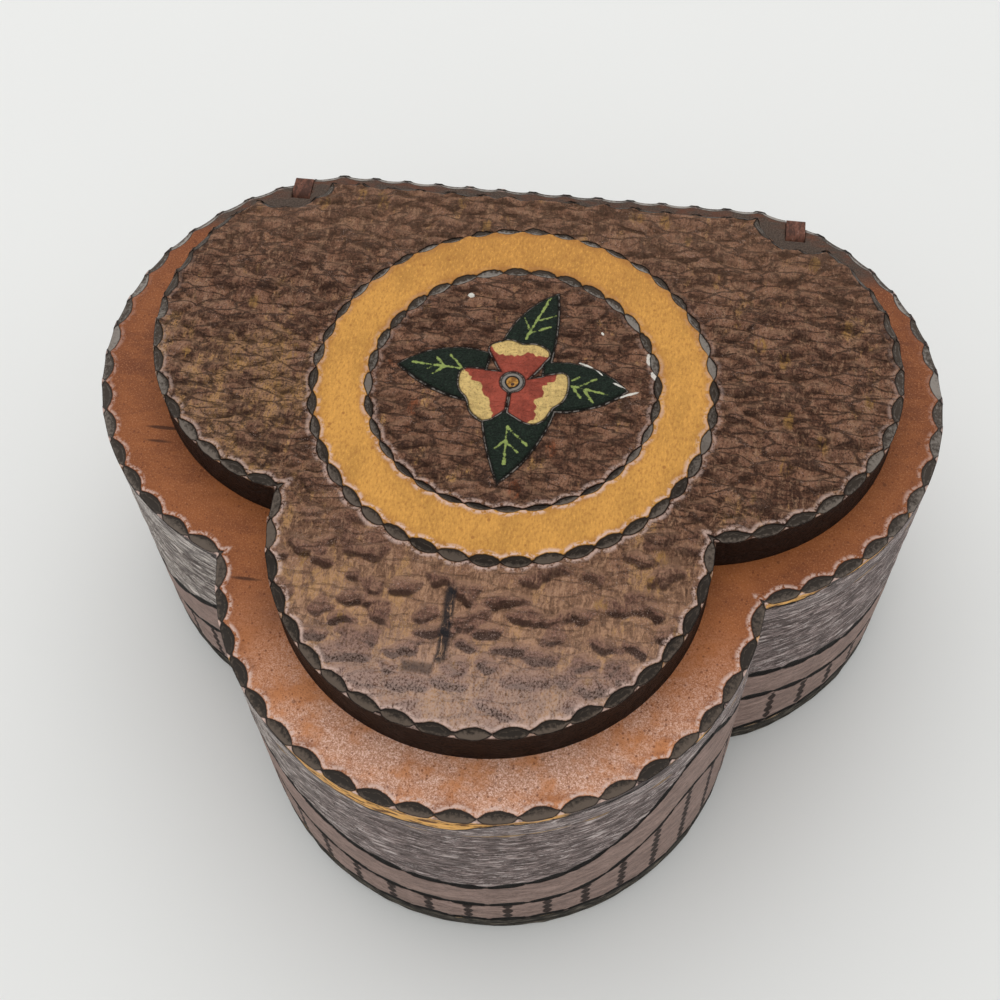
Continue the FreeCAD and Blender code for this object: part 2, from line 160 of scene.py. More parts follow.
class Finish(bpy.types.PropertyGroup):
    """Linear colours of the woods, stains and paints, and of painted sheen and highlights."""

    orange: colour("Lid stain", 0.400, 0.132, 0.040, "Brick-orange stain of the lid board")
    orange_dark: colour("Lid shade", 0.160, 0.044, 0.016, "Darker clouds in the stain")
    # Paler specks in the lid's stain; this colour also gives the painted sheen at its front.
    orange_pale: colour("Lid light", 0.580, 0.250, 0.110, "Paler specks in the stain")
    bark: colour("Bark", 0.072, 0.031, 0.018, "Dark stain of the plaque")
    bark_pale: colour("Bark light", 0.220, 0.104, 0.060, "Paler stain on the lumps")
    lump: colour("Lump", 0.165, 0.086, 0.064, "Purplish brown of the lumps")
    fibre: colour("Bark fibre", 0.350, 0.200, 0.120, "Pale fibres of the bark")
    # Real wear on rims and edges, and also painted highlights: glare, glints and crests.
    worn: colour("Bark rim", 0.560, 0.400, 0.340, "Worn pinkish rims and specks")
    ochre: colour("Bark wood", 0.580, 0.310, 0.085, "Wood left golden between the lumps")
    rust: colour("Rust", 0.260, 0.075, 0.028, "Rust-red flecks of the disc")
    ring: colour("Ring", 0.640, 0.315, 0.070, "Golden wood of the ring")
    ring_dark: colour("Ring shade", 0.360, 0.150, 0.035, "Darker flecks in the ring")
    burnt: colour("Burnt", 0.007, 0.005, 0.004, "Burnt lines")
    # Pale grey; in the notches and on the flower's outlines it gives painted reflection and
    # highlight.
    grey_and_sheen: colour("Notch at the back", 0.300, 0.270, 0.240, "Middle of a notch, at the back")
    soot: colour("Notch in front", 0.028, 0.021, 0.016, "Middle of a notch, in front")
    # The wall's grey-mauve is its brown stain with a painted sheen mixed in.
    wall: colour("Wall", 0.360, 0.280, 0.262, "Stain of the gouged wall")
    wall_dark: colour("Wall scratch", 0.050, 0.034, 0.031, "Scratches of the gouged wall")
    band: colour("Wall band", 0.380, 0.265, 0.225, "Smooth wood between the burnt lines")
    bar: colour("Wall bar", 0.022, 0.011, 0.008, "Upright burnt bars")
    foot: colour("Foot", 0.105, 0.090, 0.070, "Weathered edge of the bottom board")
    bare: colour("Bare wood", 0.520, 0.350, 0.190, "Wood inside the box")
    peg: colour("Peg", 0.135, 0.052, 0.032, "Reddish wood of the hinge pegs")
    petal: colour("Petal", 0.400, 0.080, 0.050, "Red of the petals")
    tip: colour("Petal tip", 0.820, 0.580, 0.220, "Cream at the petals' tips")
    leaf: colour("Leaf", 0.008, 0.014, 0.009, "Dark green of the leaves")
    vein: colour("Vein", 0.370, 0.460, 0.130, "Yellow-green of the veins")
    floor: colour("Floor", 0.845, 0.851, 0.835, "Pale surface under the box")


# ---------------------------------------------------------------- numbers and noise


def chance(i, j, seed):
    """A number from 0 to 1 for each cell (i, j): the fraction left by a large sine."""
    return np.abs(np.modf(np.sin(i * 127.1 + j * 311.7 + seed * 74.7) * 43758.5453)[0])


def smooth(value, low, high):
    """0 below low, 1 above high, and the curve 3t^2 - 2t^3 between them."""
    t = np.clip((value - low) / (high - low), 0.0, 1.0)
    return t * t * (3.0 - 2.0 * t)


def cloud(x, y, seed):
    """Soft noise from 0 to 1: chance at the whole numbers, blended smoothly between."""
    i, j = np.floor(x), np.floor(y)
    u, v = smooth(x - i, 0.0, 1.0), smooth(y - j, 0.0, 1.0)
    near = chance(i, j, seed) * (1 - u) + chance(i + 1, j, seed) * u
    far = chance(i, j + 1, seed) * (1 - u) + chance(i + 1, j + 1, seed) * u
    return near * (1 - v) + far * v


def scales(x, y, seed, missing=0.1):
    """Height from 0 to 1 of rounded lumps, one for each unit cell.

    Each lump is an ellipse about a jittered centre, with the profile
    (1 - reach^2)^0.8; its front, where y is least, is the steeper side.  The
    highest lump shows.
    """
    x, y = (x + 0.6 * (cloud(x * 1.4, y * 1.4, seed + 1) - 0.5)
            + 0.2 * (cloud(x * 2.9, y * 2.3, seed + 4) - 0.5),
            y + 0.7 * (cloud(x * 1.1, y * 1.1, seed + 2) - 0.5)
            + 0.3 * (cloud(x * 3.1, y * 2.1, seed + 6) - 0.5))
    height = np.zeros_like(x)
    for di in (-1, 0, 1):
        for dj in (-1, 0, 1):
            i, j = np.floor(x) + di, np.floor(y) + dj
            along = x - (i + 0.5 + 0.8 * (chance(i, j, seed) - 0.5))
            across = y - (j + 0.5 + 0.8 * (chance(i, j, seed + 5) - 0.5))
            across = across + 0.25 * (2 * chance(i, j, seed + 11) - 1) * along
            wide = 0.38 + 0.34 * chance(i, j, seed + 9)
            reach = np.hypot(along / wide, across / np.where(across < 0, 0.40, 0.64))
            top = 0.45 + 0.55 * chance(i, j, seed + 3)
            dome = top * np.clip(1 - reach ** 2, 0.0, 1.0) ** 0.8
            height = np.maximum(height, dome * (chance(i, j, seed + 7) > missing))
    return height


# ---------------------------------------------------------------- outlines


class Outline:
    """A closed edge round the ring's middle, made of arcs and one straight side.

    It is the far side of the lobes' circles, with a straight back edge from the first
    lobe to the second, and cut back by the bites.  Each of these pieces owns one run
    of the edge.  All is in millimetres.
    """

    def __init__(self, lobes, back, bites=()):
        self.circles = np.array(list(lobes) + list(bites), float)
        self.lobes = len(lobes)
        self.back = back
        outer = [x + math.copysign(math.sqrt(r * r - (back - y) ** 2), x)
                 for x, y, r in lobes[:2]]
        self.corners = min(outer), max(outer)
        turn = np.linspace(0.0, TURN, 72001)
        first = turn[np.flatnonzero(np.diff(self.reach(turn)[1]))[0] + 1]
        # the walk starts on a corner, so that each piece owns one run only
        self.angle = turn + first
        radius, owner = self.reach(self.angle)
        x, y = radius * np.cos(self.angle), radius * np.sin(self.angle)
        self.run = np.concatenate([[0.0], np.cumsum(np.hypot(np.diff(x), np.diff(y)))])
        changes = np.flatnonzero(np.diff(owner[:-1])) + 1
        self.ends = np.concatenate([[0], changes, [len(turn) - 1]])
        self.spans = {}
        for low, high in zip(self.ends[:-1], self.ends[1:]):
            middle = (low + high) // 2
            piece = int(owner[middle])
            zero = self.bearing(piece, x[middle], y[middle], 0.0)
            a = self.bearing(piece, x[low], y[low], zero)
            b = self.bearing(piece, x[high], y[high], zero)
            self.spans[piece] = (zero, a, b, self.run[low], self.run[high])

    def reach(self, angle):
        """How far the edge lies at an angle, and which piece it belongs to.

        A ray from the middle leaves circle (c, r) at b + sqrt(b^2 - |c|^2 + r^2),
        with b the centre's distance along the ray, and meets a bite at the lesser root.
        The back edge takes the rays that meet it between the lobes' outer crossings.
        """
        c, s = np.cos(angle), np.sin(angle)
        x, y, r = (self.circles[:, k][:, None] for k in range(3))
        b = x * c + y * s
        inner = b * b - x * x - y * y + r * r
        root = np.sqrt(np.maximum(inner, 0.0))
        out = (b + root)[:self.lobes]
        radius, owner = out.max(0), out.argmax(0)
        straight = self.back / np.maximum(s, 0.05)
        behind = (s > 0.05) & (straight * c > self.corners[0]) & (straight * c < self.corners[1])
        owner = np.where(behind, -1, owner)
        radius = np.where(behind, straight, radius)
        for k in range(self.lobes, len(self.circles)):
            entry = np.where((inner[k] > 0) & (b[k] > 0), b[k] - root[k], np.inf)
            owner = np.where(entry < radius, k, owner)
            radius = np.minimum(radius, entry)
        return radius, owner

    def bearing(self, piece, x, y, zero):
        """Place along a piece: the angle about its centre, or minus x on the back."""
        if piece < 0:
            return -x if zero == 0.0 else -x - zero
        cx, cy, _ = self.circles[piece]
        turned = np.arctan2(y - cy, x - cx) - zero
        return (turned + math.pi) % TURN - math.pi

    def depth(self, x, y):
        """Distance in from the edge, and the piece that it is measured from."""
        gaps = np.stack([r - np.hypot(x - cx, y - cy)
                         for cx, cy, r in self.circles[:self.lobes]])
        depth, owner = gaps.max(0), gaps.argmax(0)
        between = np.minimum(x - self.corners[0], self.corners[1] - x)
        depth = np.where(y > 0, np.maximum(depth, between), depth)
        straight = self.back - y
        owner = np.where(straight < depth, -1, owner)
        depth = np.minimum(depth, straight)
        for k in range(self.lobes, len(self.circles)):
            cx, cy, r = self.circles[k]
            gap = np.hypot(x - cx, y - cy) - r
            owner = np.where(gap < depth, k, owner)
            depth = np.minimum(depth, gap)
        return depth, owner

    def inward(self, x, y, owner):
        """Unit vector from the edge inwards, square to the piece that owns it."""
        nx, ny = np.zeros_like(x), -np.ones_like(y)
        for k, (cx, cy, _) in enumerate(self.circles):
            away = np.hypot(x - cx, y - cy) + 1e-9
            sign = -1.0 if k < self.lobes else 1.0
            nx = np.where(owner == k, sign * (x - cx) / away, nx)
            ny = np.where(owner == k, sign * (y - cy) / away, ny)
        return nx, ny

    def along(self, x, y, owner):
        """Fraction along the owner's run, the run's start and its length."""
        part, start, size = np.zeros_like(x), np.zeros_like(x), np.ones_like(x)
        for piece, (zero, a, b, first, last) in self.spans.items():
            here = (self.bearing(piece, x, y, zero) - a) / (b - a)
            part = np.where(owner == piece, here, part)
            start = np.where(owner == piece, first, start)
            size = np.where(owner == piece, last - first, size)
        return part, start, size

    def edge(self, angle):
        """Places on the edge at these angles, unit vectors inwards, and the way round."""
        radius, owner = self.reach(angle)
        x, y = radius * np.cos(angle), radius * np.sin(angle)
        run = np.cumsum(np.hypot(np.diff(x, append=x[0]), np.diff(y, append=y[0])))
        return x, y, *self.inward(x, y, owner), run

    def stations(self, step):
        """Angles of points about `step` apart along the edge, with one on each corner."""
        places = []
        for low, high in zip(self.ends[:-1], self.ends[1:]):
            count = max(2, round((self.run[high] - self.run[low]) / step))
            places.append(np.linspace(self.run[low], self.run[high], count, endpoint=False))
        return np.interp(np.concatenate(places), self.run, self.angle)


def wall_lobes(shape, inset=0.0):
    """The outline of the walls and the lid, or one that lies inset inside it."""
    lobes = [(shape.left_x, shape.left_y, shape.left_radius),
             (shape.right_x, shape.right_y, shape.right_radius),
             (0.0, shape.front_y, shape.front_radius)]
    return Outline([(x, y, r - inset) for x, y, r in lobes], shape.back - inset)


def plaque_lobes(shape):
    """The outline of the plaque, cut back round each hinge peg."""
    lobes = [(shape.plaque_left_x, shape.plaque_left_y, shape.plaque_left_radius),
             (shape.plaque_right_x, shape.plaque_right_y, shape.plaque_right_radius),
             (0.0, shape.plaque_front_y, shape.plaque_front_radius)]
    bites = []
    for side, sign in (("left", -1), ("right", 1)):
        low, high = PEG_BOX[side]
        middle = (low.x + high.x) / 2 / MM - shape.ring_x + sign * shape.bite_outwards
        bites.append((middle, HINGE_Y - shape.ring_y - shape.bite_forwards, shape.bite_radius))
    return Outline(lobes, shape.plaque_back, bites)


def swing(part, size, pitch):
    """0 in the middle of each notch or stroke and 1 between two of them: |2f - 1|.

    The run is divided into a whole number of equal steps, and f is the fraction of
    the step.
    """
    count = np.maximum(np.round(size / pitch), 1.0)
    return np.abs(2.0 * np.mod(part * count, 1.0) - 1.0)


def lot(part, size, pitch):
    """A number from 0 to 1 for each notch of such a run, the same all over the notch."""
    count = np.maximum(np.round(size / pitch), 1.0)
    return chance(np.floor(np.mod(part, 1.0) * count), count, 51)


def notch_row(end, across, half, tilt=0.0):
    """A row of lens-shaped cuts: the gap inside, the depth, and the place across.

    With w = half (1 - end^2) the lens's half width, the gap is w - |across|, and the
    depth is 1 - (across / w)^2 for a level cut.  A tilted cut also falls outwards,
    as (1 - across / w) / 2.
    """
    wide = half * (1.0 - end * end)
    place = across / np.maximum(wide, 0.06 * half)
    dip = np.clip(1.0 - place ** 2, 0.0, 1.0)
    fall = np.clip((1.0 - place) / 2, 0.0, 1.0) * (wide > np.abs(across)) * (1.0 - end * end)
    dip = (1.0 - 0.5 * tilt) * dip * (1.0 - 0.6 * end * end) + tilt * fall
    return wide - np.abs(across), dip, np.clip(place, -1.0, 1.0)


def rim_notches(outline, x, y, row, half, pitch, shrink):
    """The tilted notches along an outline: gap, depth, facing, lot, and depth inside.

    They are narrower at the back, where the row lies nearer to the edge.  Facing is 1
    where the cut's wall looks to the back, and -1 where it looks to the front.
    """
    depth, owner = outline.depth(x, y)
    rise = (outline.depth(x, y + 0.05)[0] - outline.depth(x, y - 0.05)[0]) / 0.1
    part, _, size = outline.along(x, y, owner)
    less = 1.0 - shrink * smooth(-rise, 0.1, 0.9)
    gap, dip, place = notch_row(swing(part, size, pitch), depth - row * less, half * less, 0.9)
    gap = np.minimum(gap, 1.5 * depth - 0.03)
    return gap, dip, -place * rise, lot(part, size, pitch), depth


# ---------------------------------------------------------------- meshes


def quads(rows, columns, wrap_rows=False, start=0):
    """Vertex numbers of the quads of a grid whose columns close on themselves."""
    k = np.arange(rows if wrap_rows else rows - 1)[:, None]
    j = np.arange(columns)[None, :]
    here, there = start + k * columns, start + (k + 1) % rows * columns
    right = (j + 1) % columns
    return np.stack([here + j, here + right, there + right, there + j], -1).reshape(-1, 4)


def fan(centre, start, columns, flip=False):
    """Triangles from one ring of a grid to a single point."""
    j = np.arange(columns)
    order = [start + j, start + (j + 1) % columns]
    if flip:
        order.reverse()
    return np.stack([*order, np.full(columns, centre)], -1)


def halving(outer, inner, columns):
    """Triangles between a ring of 2n points and the ring of n points inside it."""
    j = np.arange(columns)
    a, b, c = outer + 2 * j, outer + 2 * j + 1, outer + (2 * j + 2) % (2 * columns)
    p, q = inner + j, inner + (j + 1) % columns
    return np.concatenate([np.stack(t, -1) for t in ((a, b, p), (b, q, p), (b, c, q))])


def make_mesh(name, points, faces, materials, slots=None):
    """A smooth mesh object from arrays of points (mm) and of quads or triangles."""
    mesh = bpy.data.meshes.new(name)
    sizes = np.concatenate([np.full(len(part), part.shape[1]) for part in faces])
    corners = np.concatenate([part.ravel() for part in faces])
    mesh.vertices.add(len(points))
    mesh.vertices.foreach_set("co", (points * MM).astype(np.float32).ravel())
    mesh.loops.add(len(corners))
    mesh.loops.foreach_set("vertex_index", corners.astype(np.int32))
    mesh.polygons.add(len(sizes))
    starts = np.concatenate([[0], np.cumsum(sizes)[:-1]])
    mesh.polygons.foreach_set("loop_start", starts.astype(np.int32))
    mesh.polygons.foreach_set("use_smooth", np.ones(len(sizes), bool))
    for material in materials:
        mesh.materials.append(material)
    if slots is not None:
        mesh.polygons.foreach_set("material_index", slots.astype(np.int32))
    mesh.update(calc_edges=True)
    if mesh.validate():
        raise RuntimeError(name + ": the mesh has faults")
    piece = bpy.data.objects.new(name, mesh)
    bpy.context.scene.collection.objects.link(piece)
    return piece


def mark(piece, **values):
    """Stores numbers at each point, for the piece's material."""
    for name, numbers in values.items():
        layer = piece.data.attributes.new(name, "FLOAT", "POINT")
        layer.data.foreach_set("value", numbers.astype(np.float32).ravel())


def points_of(piece):
    """The piece's points as an array, in millimetres."""
    flat = np.empty(len(piece.data.vertices) * 3, np.float32)
    piece.data.vertices.foreach_get("co", flat)
    return flat.reshape(-1, 3).astype(float) / MM


def settle(piece, body, slot, *nodes):
    """Lets the piece move with its body, in the place of the plain nodes."""
    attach(piece, body)
    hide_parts(*nodes)


# ---------------------------------------------------------------- shading


# The stretch of a noise that looks the same in all directions.
EVEN = (1.0, 1.0, 1.0)


class Signal:
    """An output of a node.  The signs + - * | and abs() add nodes; | is the greater."""

    def __init__(self, shade, socket):
        self.shade, self.socket = shade, socket

    def __add__(self, other):
        return self.shade.math("ADD", self, other)

    def __radd__(self, other):
        return self.shade.math("ADD", other, self)

    def __sub__(self, other):
        if isinstance(other, Signal):
            return self.shade.math("SUBTRACT", self, other)
        return self + -other

    def __rsub__(self, other):
        return self.shade.math("SUBTRACT", other, self)

    def __mul__(self, other):
        return self.shade.math("MULTIPLY", self, other)

    def __or__(self, other):
        return self.shade.math("MAXIMUM", self, other)

    def __abs__(self):
        return self.shade.math("ABSOLUTE", self)

    def other(self, name):
        """Another output of the same node."""
        return Signal(self.shade, self.socket.node.outputs[name])


class Shade:
    """Builds one material's nodes; each method gives back a signal."""

    def __init__(self, name, roughness, specular=0.5):
        self.material = bpy.data.materials.new(name)
        self.material.use_nodes = True
        tree = self.material.node_tree
        self.nodes, self.links = tree.nodes, tree.links
        self.surface = tree.nodes["Principled BSDF"]
        self.surface.inputs["Roughness"].default_value = roughness
        self.surface.inputs["Specular IOR Level"].default_value = specular
        self.place = self.vector("SCALE", self.node("TexCoord", {}, "Object"), 1.0 / MM)
        self.x, self.y, self.z = self.split(self.place)

    def put(self, socket, value):
        """Links a signal to a socket, or sets its number or colour."""
        if isinstance(value, Signal):
            self.links.new(value.socket, socket)
        elif hasattr(value, "__len__") and len(socket.default_value) == 4:
            socket.default_value = (*value, 1.0)
        else:
            socket.default_value = value

    def node(self, kind, inputs, output=0, **options):
        """Adds a node with its options and inputs; gives back one of its outputs."""
        node = self.nodes.new("ShaderNode" + kind)
        for name, option in options.items():
            setattr(node, name, option)
        for name, value in inputs.items():
            self.put(node.inputs[name], value)
        return Signal(self, node.outputs[output])

    def vector(self, operation, first, second):
        """Two vectors joined by an operation, or a vector scaled by a number."""
        second_input = "Scale" if operation == "SCALE" else 1
        return self.node("VectorMath", {0: first, second_input: second}, operation=operation)

    def dot(self, first, second):
        """The scalar product of two vectors."""
        return self.node("VectorMath", {0: first, 1: second}, "Value", operation="DOT_PRODUCT")

    def split(self, vector):
        """The vector's parts along x, y and z."""
        first = self.node("SeparateXYZ", {0: vector})
        return [first.other(name) for name in "XYZ"]

    def math(self, operation, *values):
        """An operation on one, two or three numbers."""
        return self.node("Math", dict(enumerate(values)), operation=operation)

    def ramp(self, value, low, high, start=0.0, end=1.0):
        """Smooth step from start, at low, to end, at high."""
        inputs = {"Value": value, "From Min": low, "From Max": high, "To Min": start, "To Max": end}
        return self.node("MapRange", inputs, interpolation_type="SMOOTHSTEP")

    def within(self, value, reach, soft):
        """1 where the value is nearer to 0 than reach, fading out over soft."""
        return self.ramp(self.math("SUBTRACT", abs(value), reach), -soft, soft, 1.0, 0.0)

    def mix(self, factor, first, second, share=1.0):
        """Colour from first to second; the share is the most that second may cover."""
        if share != 1.0:
            factor = factor * share
        return self.node("Mix", {0: factor, 6: first, 7: second}, 2,
                         data_type="RGBA", clamp_factor=True)

    def layers(self, colour, *coats):
        """Lays coats over a colour: each is a mask, a paint and, if not 1, a share.

        A mask in brackets holds what a ramp takes: the value, low and high.
        """
        for mask, paint, *share in coats:
            mask = self.ramp(*mask) if isinstance(mask, tuple) else mask
            colour = self.mix(mask, colour, paint, *share)
        return colour

    def moved(self, stretch, shift):
        """Object coordinates in mm, shifted and then stretched."""
        place = self.vector("ADD", self.place, (shift, shift * 0.7, shift * 0.4))
        return self.vector("MULTIPLY", place, stretch)

    def noise(self, scale, detail=3.0, rough=0.5, stretch=EVEN, shift=0.0, twist=0.0):
        """Noise from 0 to 1, with `scale` features to the millimetre."""
        inputs = {"Vector": self.moved(stretch, shift), "Scale": scale, "Detail": detail,
                  "Roughness": rough, "Distortion": twist}
        return self.node("TexNoise", inputs, "Fac")

    def specks(self, scale, size, share, stretch=EVEN, shift=0.0):
        """Scattered dots: a share of the cells holds one."""
        inputs = {"Vector": self.moved(stretch, shift), "Scale": scale}
        cell = self.node("TexVoronoi", inputs, "Distance")
        luck = self.split(cell.other("Color"))[0]
        dot = self.ramp(cell, size * 0.5, size, 1.0, 0.0)
        return dot * self.ramp(luck, share, share + 0.02, 1.0, 0.0)

    def crinkle(self, scale, warp, stretch=EVEN, shift=0.0):
        """0 on the creases between rounded cells, whose outlines a noise bends."""
        bend = self.noise(scale * 1.6, stretch=stretch, shift=shift + 5.0).other("Color")
        away = self.vector("SUBTRACT", bend, (0.5, 0.5, 0.5))
        place = self.vector("ADD", self.moved(stretch, shift), self.vector("SCALE", away, warp))
        return self.node("TexVoronoi", {"Vector": place, "Scale": scale}, "Distance",
                         feature="DISTANCE_TO_EDGE")

    def value(self, name):
        """A number that the mesh stores at its points."""
        return self.node("Attribute", {}, "Fac", attribute_name=name)

    def finish(self, colour, height=None, distance=0.1, strength=1.0):
        """Joins the colour and the bump to the surface; gives back the material."""
        self.put(self.surface.inputs["Base Color"], colour)
        if height is not None:
            inputs = {"Height": height, "Distance": distance * MM, "Strength": strength}
            self.put(self.surface.inputs["Normal"], self.node("Bump", inputs))
        return self.material


def burnt_notches(s, finish, tone):
    """Paints the burnt notches over a tone; gives the tone and the notches' middles.

    The stored gap is half (1 - end^2) - across: 0 on the lens's outline.
    """
    wobble = (s.noise(1.1, shift=31.0) - 0.5) * 0.3
    gap = s.value("notch") + wobble
    front = s.ramp(s.y, -30.0, 45.0, 1.0, 0.0)
    # Painted highlight on the crests round the notches, strongest in front.
    crest_highlight = s.ramp(s.noise(1.1, 5.0, 0.7, shift=47.0), 0.43, 0.53) * front
    rim = s.ramp(gap, -1.1, -0.4) * s.ramp(gap, -0.3, -0.1, 1.0, 0.0)
    # At the back the pale is a painted reflection; the pale line along each notch is a painted
    # highlight.
    # Painted light and shade on the notch walls: walls that face the back are pale, those that face
    # the front dark.
    shine = s.noise(1.6, 4.0, 0.7, shift=41.0) - 0.5
    pale = s.mix(front, finish.grey_and_sheen, finish.soot * 4.0)
    base = s.mix(front, finish.soot * 2.2, finish.soot * 0.9)
    lean = s.value("facing") + shine * 2.2 + (s.value("luck") - 0.45) * 1.2
    line = s.within(gap + (wobble * 1.5 - 0.45), 0.04, 0.08)
    grey_and_sheen = s.layers(base, ((lean, -0.3, 0.6), pale), (line * s.ramp(shine, -0.08, 0.05), pale, 0.6))
    middle = s.ramp(gap, -0.1, 0.1)
    return s.layers(
        tone,
        (rim * crest_highlight, finish.worn * 1.25, 0.85),
        (middle, grey_and_sheen),
        (s.within(gap, 0.09, 0.1), finish.burnt)), middle


def bare_wood(finish):
    """Pale unfinished wood with grain from left to right, for the inside."""
    s = Shade("bare_wood", 0.62)
    grain = s.noise(0.55, 5.0, 0.6, (0.07, 1.0, 1.0), twist=0.4)
    fibre = s.noise(3.2, 4.0, 0.6, (0.06, 1.0, 1.0), shift=7.0)
    dark = finish.bare * 0.55
    tone = s.layers(
        s.mix(s.ramp(grain, 0.35, 0.7), dark, finish.bare * 1.2),
        (s.ramp(fibre, 0.5, 0.75) * 0.45, dark),
        (s.specks(0.8, 0.3, 0.18, (0.3, 1.0, 1.0)), dark))
    return s.finish(tone, fibre, 0.12, 0.6)


def lid_stain(finish, carving):
    """Orange stain with clouds, specks and pores, burnt along its row of notches."""
    s = Shade("lid_stain", 0.45, 0.18)
    dark, stain, pale = finish.orange_dark, finish.orange, finish.orange_pale
    clouds = s.noise(0.045, 4.0, 0.6, (0.6, 1.0, 1.0))
    mottle = s.noise(0.5, 5.0, 0.65, (0.4, 1.0, 1.0), shift=13.0)
    fine = s.noise(3.4, 3.0, 0.7, shift=5.0)
    # near marks the front of the lid, where painted sheen and glare lighten the stain.
    near = s.ramp(s.y, -22.0, -52.0)
    glare = near * s.ramp(s.noise(0.12, 4.0, 0.7, shift=71.0), 0.34, 0.56)
    glare = glare * s.ramp(s.x, -38.0, -20.0, 0.25, 1.0)
    spark = s.noise(4.5, 3.0, 0.75, shift=5.0)
    tone = s.mix(s.ramp(clouds + near * 0.12, 0.3, 0.6), dark, stain)
    pores = s.specks(0.42, 0.2, 0.14, (0.13, 1.0, 1.0), shift=21.0)
    edge = s.value("edge")
    worn = s.ramp(s.noise(0.06, 3.0, 0.6, shift=3.0), 0.54, 0.6)
    worn = worn | s.within(s.x + 10.0, 15.0, 4.0) * s.ramp(s.y, -46.0, -51.0)
    streaks = s.ramp(s.noise(1.2, 3.0, 0.6, (0.3, 0.3, 1.2), shift=8.0), 0.4, 0.55)
    bared = s.mix(streaks, finish.ring_dark * 0.5, finish.ochre * 1.5)
    lip = s.mix(worn, finish.wall_dark * 1.3, bared)
    chipped = s.mix(s.ramp(mottle, 0.45, 0.55), finish.worn * 0.7, lip)
    tone = s.layers(
        tone,
        # painted sheen at the front and painted shade towards the back; the stain is also darker
        # towards both sides
        (near, pale * 1.2, 0.7),
        ((s.y, -20.0, 40.0), dark, 0.4),
        ((abs(s.x - 5.0), 25.0, 60.0), dark, 0.4),
        ((mottle, 0.42, 0.62), stain, 0.4),
        ((fine, 0.52, 0.66), pale, 0.5),
        (glare, finish.worn * 0.9, 0.35),
        (s.ramp(spark, 0.5, 0.6) * glare, finish.worn * 1.7, 0.75),
        ((spark, 0.46, 0.36), dark, 0.6),
        (s.specks(0.55, 0.24, 0.06), dark * 0.6, 0.5),
        (s.specks(1.3, 0.32, 0.3, shift=3.0), dark, 0.7),
        (pores, dark * 0.25, 0.8),
        ((s.y + mottle * 4.0, 45.0, 50.0),
         s.mix(s.ramp(fine, 0.42, 0.6), finish.soot * 1.6, finish.soot * 3.2), 0.95),
        (s.ramp(edge, 4.2, 1.6) * s.ramp(mottle, 0.4, 0.7), dark, 0.6),
        ((edge, 0.9, 0.6), chipped))
    tone, middle = burnt_notches(s, finish, tone)
    side = s.value("side")
    gouges, scratch = gouged(s, finish)
    zone = s.within(s.x + 10.0, 13.0, 5.0) * s.ramp(s.y, -46.0, -51.0, 0.0, 2.4)
    below = LID_TOP - carving.lip - s.z + zone * -1.0
    wander = (s.noise(0.16, 2.0, shift=15.0) - 0.5) * 2.2
    flank = s.mix(s.ramp(below + wander, -0.15, 0.1), lip, gouges)
    flank = s.mix(s.within(below + wander, 0.2, 0.12), flank, finish.burnt)
    tone = s.mix(side, tone, flank)
    height = fine * 0.7 + scratch * side
    height = height * s.ramp(middle, 0.0, 1.0, 1.0, 0.4)
    return s.finish(tone, height, 0.16, 0.9)


def gouged(s, finish):
    """Brown stain greyed by a painted sheen, fine dark scratches along the wall, and their relief.
    """
    streak = s.noise(2.6, 4.0, 0.6, (0.13, 0.13, 1.0), twist=0.6)
    broad = s.noise(0.25, 4.0, 0.6, (0.4, 0.4, 1.8), shift=23.0)
    grain = s.noise(4.5, 3.0, 0.6, (0.6, 0.6, 1.4), shift=9.0)
    contour = s.noise(1.1, 4.0, 0.6, (0.16, 0.16, 1.2), shift=33.0, twist=0.4)
    # The stain's grey is partly painted sheen; it is paler towards the left end.
    pale = s.mix(s.ramp(s.x, -10.0, -45.0), finish.wall, finish.grey_and_sheen * 2.0)
    tone = s.mix(s.ramp(streak, 0.4, 0.56), finish.wall * 0.36, pale)
    lines = s.within(contour - 0.5, 0.018, 0.014)
    other = s.within(contour - 0.43, 0.015, 0.014)
    lines = (lines | other) * s.ramp(grain, 0.42, 0.5)
    tone = s.layers(
        tone,
        # pale streaks: painted highlights on the crests of the cuts
        ((streak, 0.53, 0.62), (0.74, 0.67, 0.64), 0.6),
        ((broad, 0.54, 0.64), finish.wall * 0.3, 0.35),
        (lines, finish.wall_dark, 0.9),
        ((grain, 0.5, 0.65), finish.wall * 0.45, 0.4))
    return tone, streak + grain * 0.3 + lines * -0.4


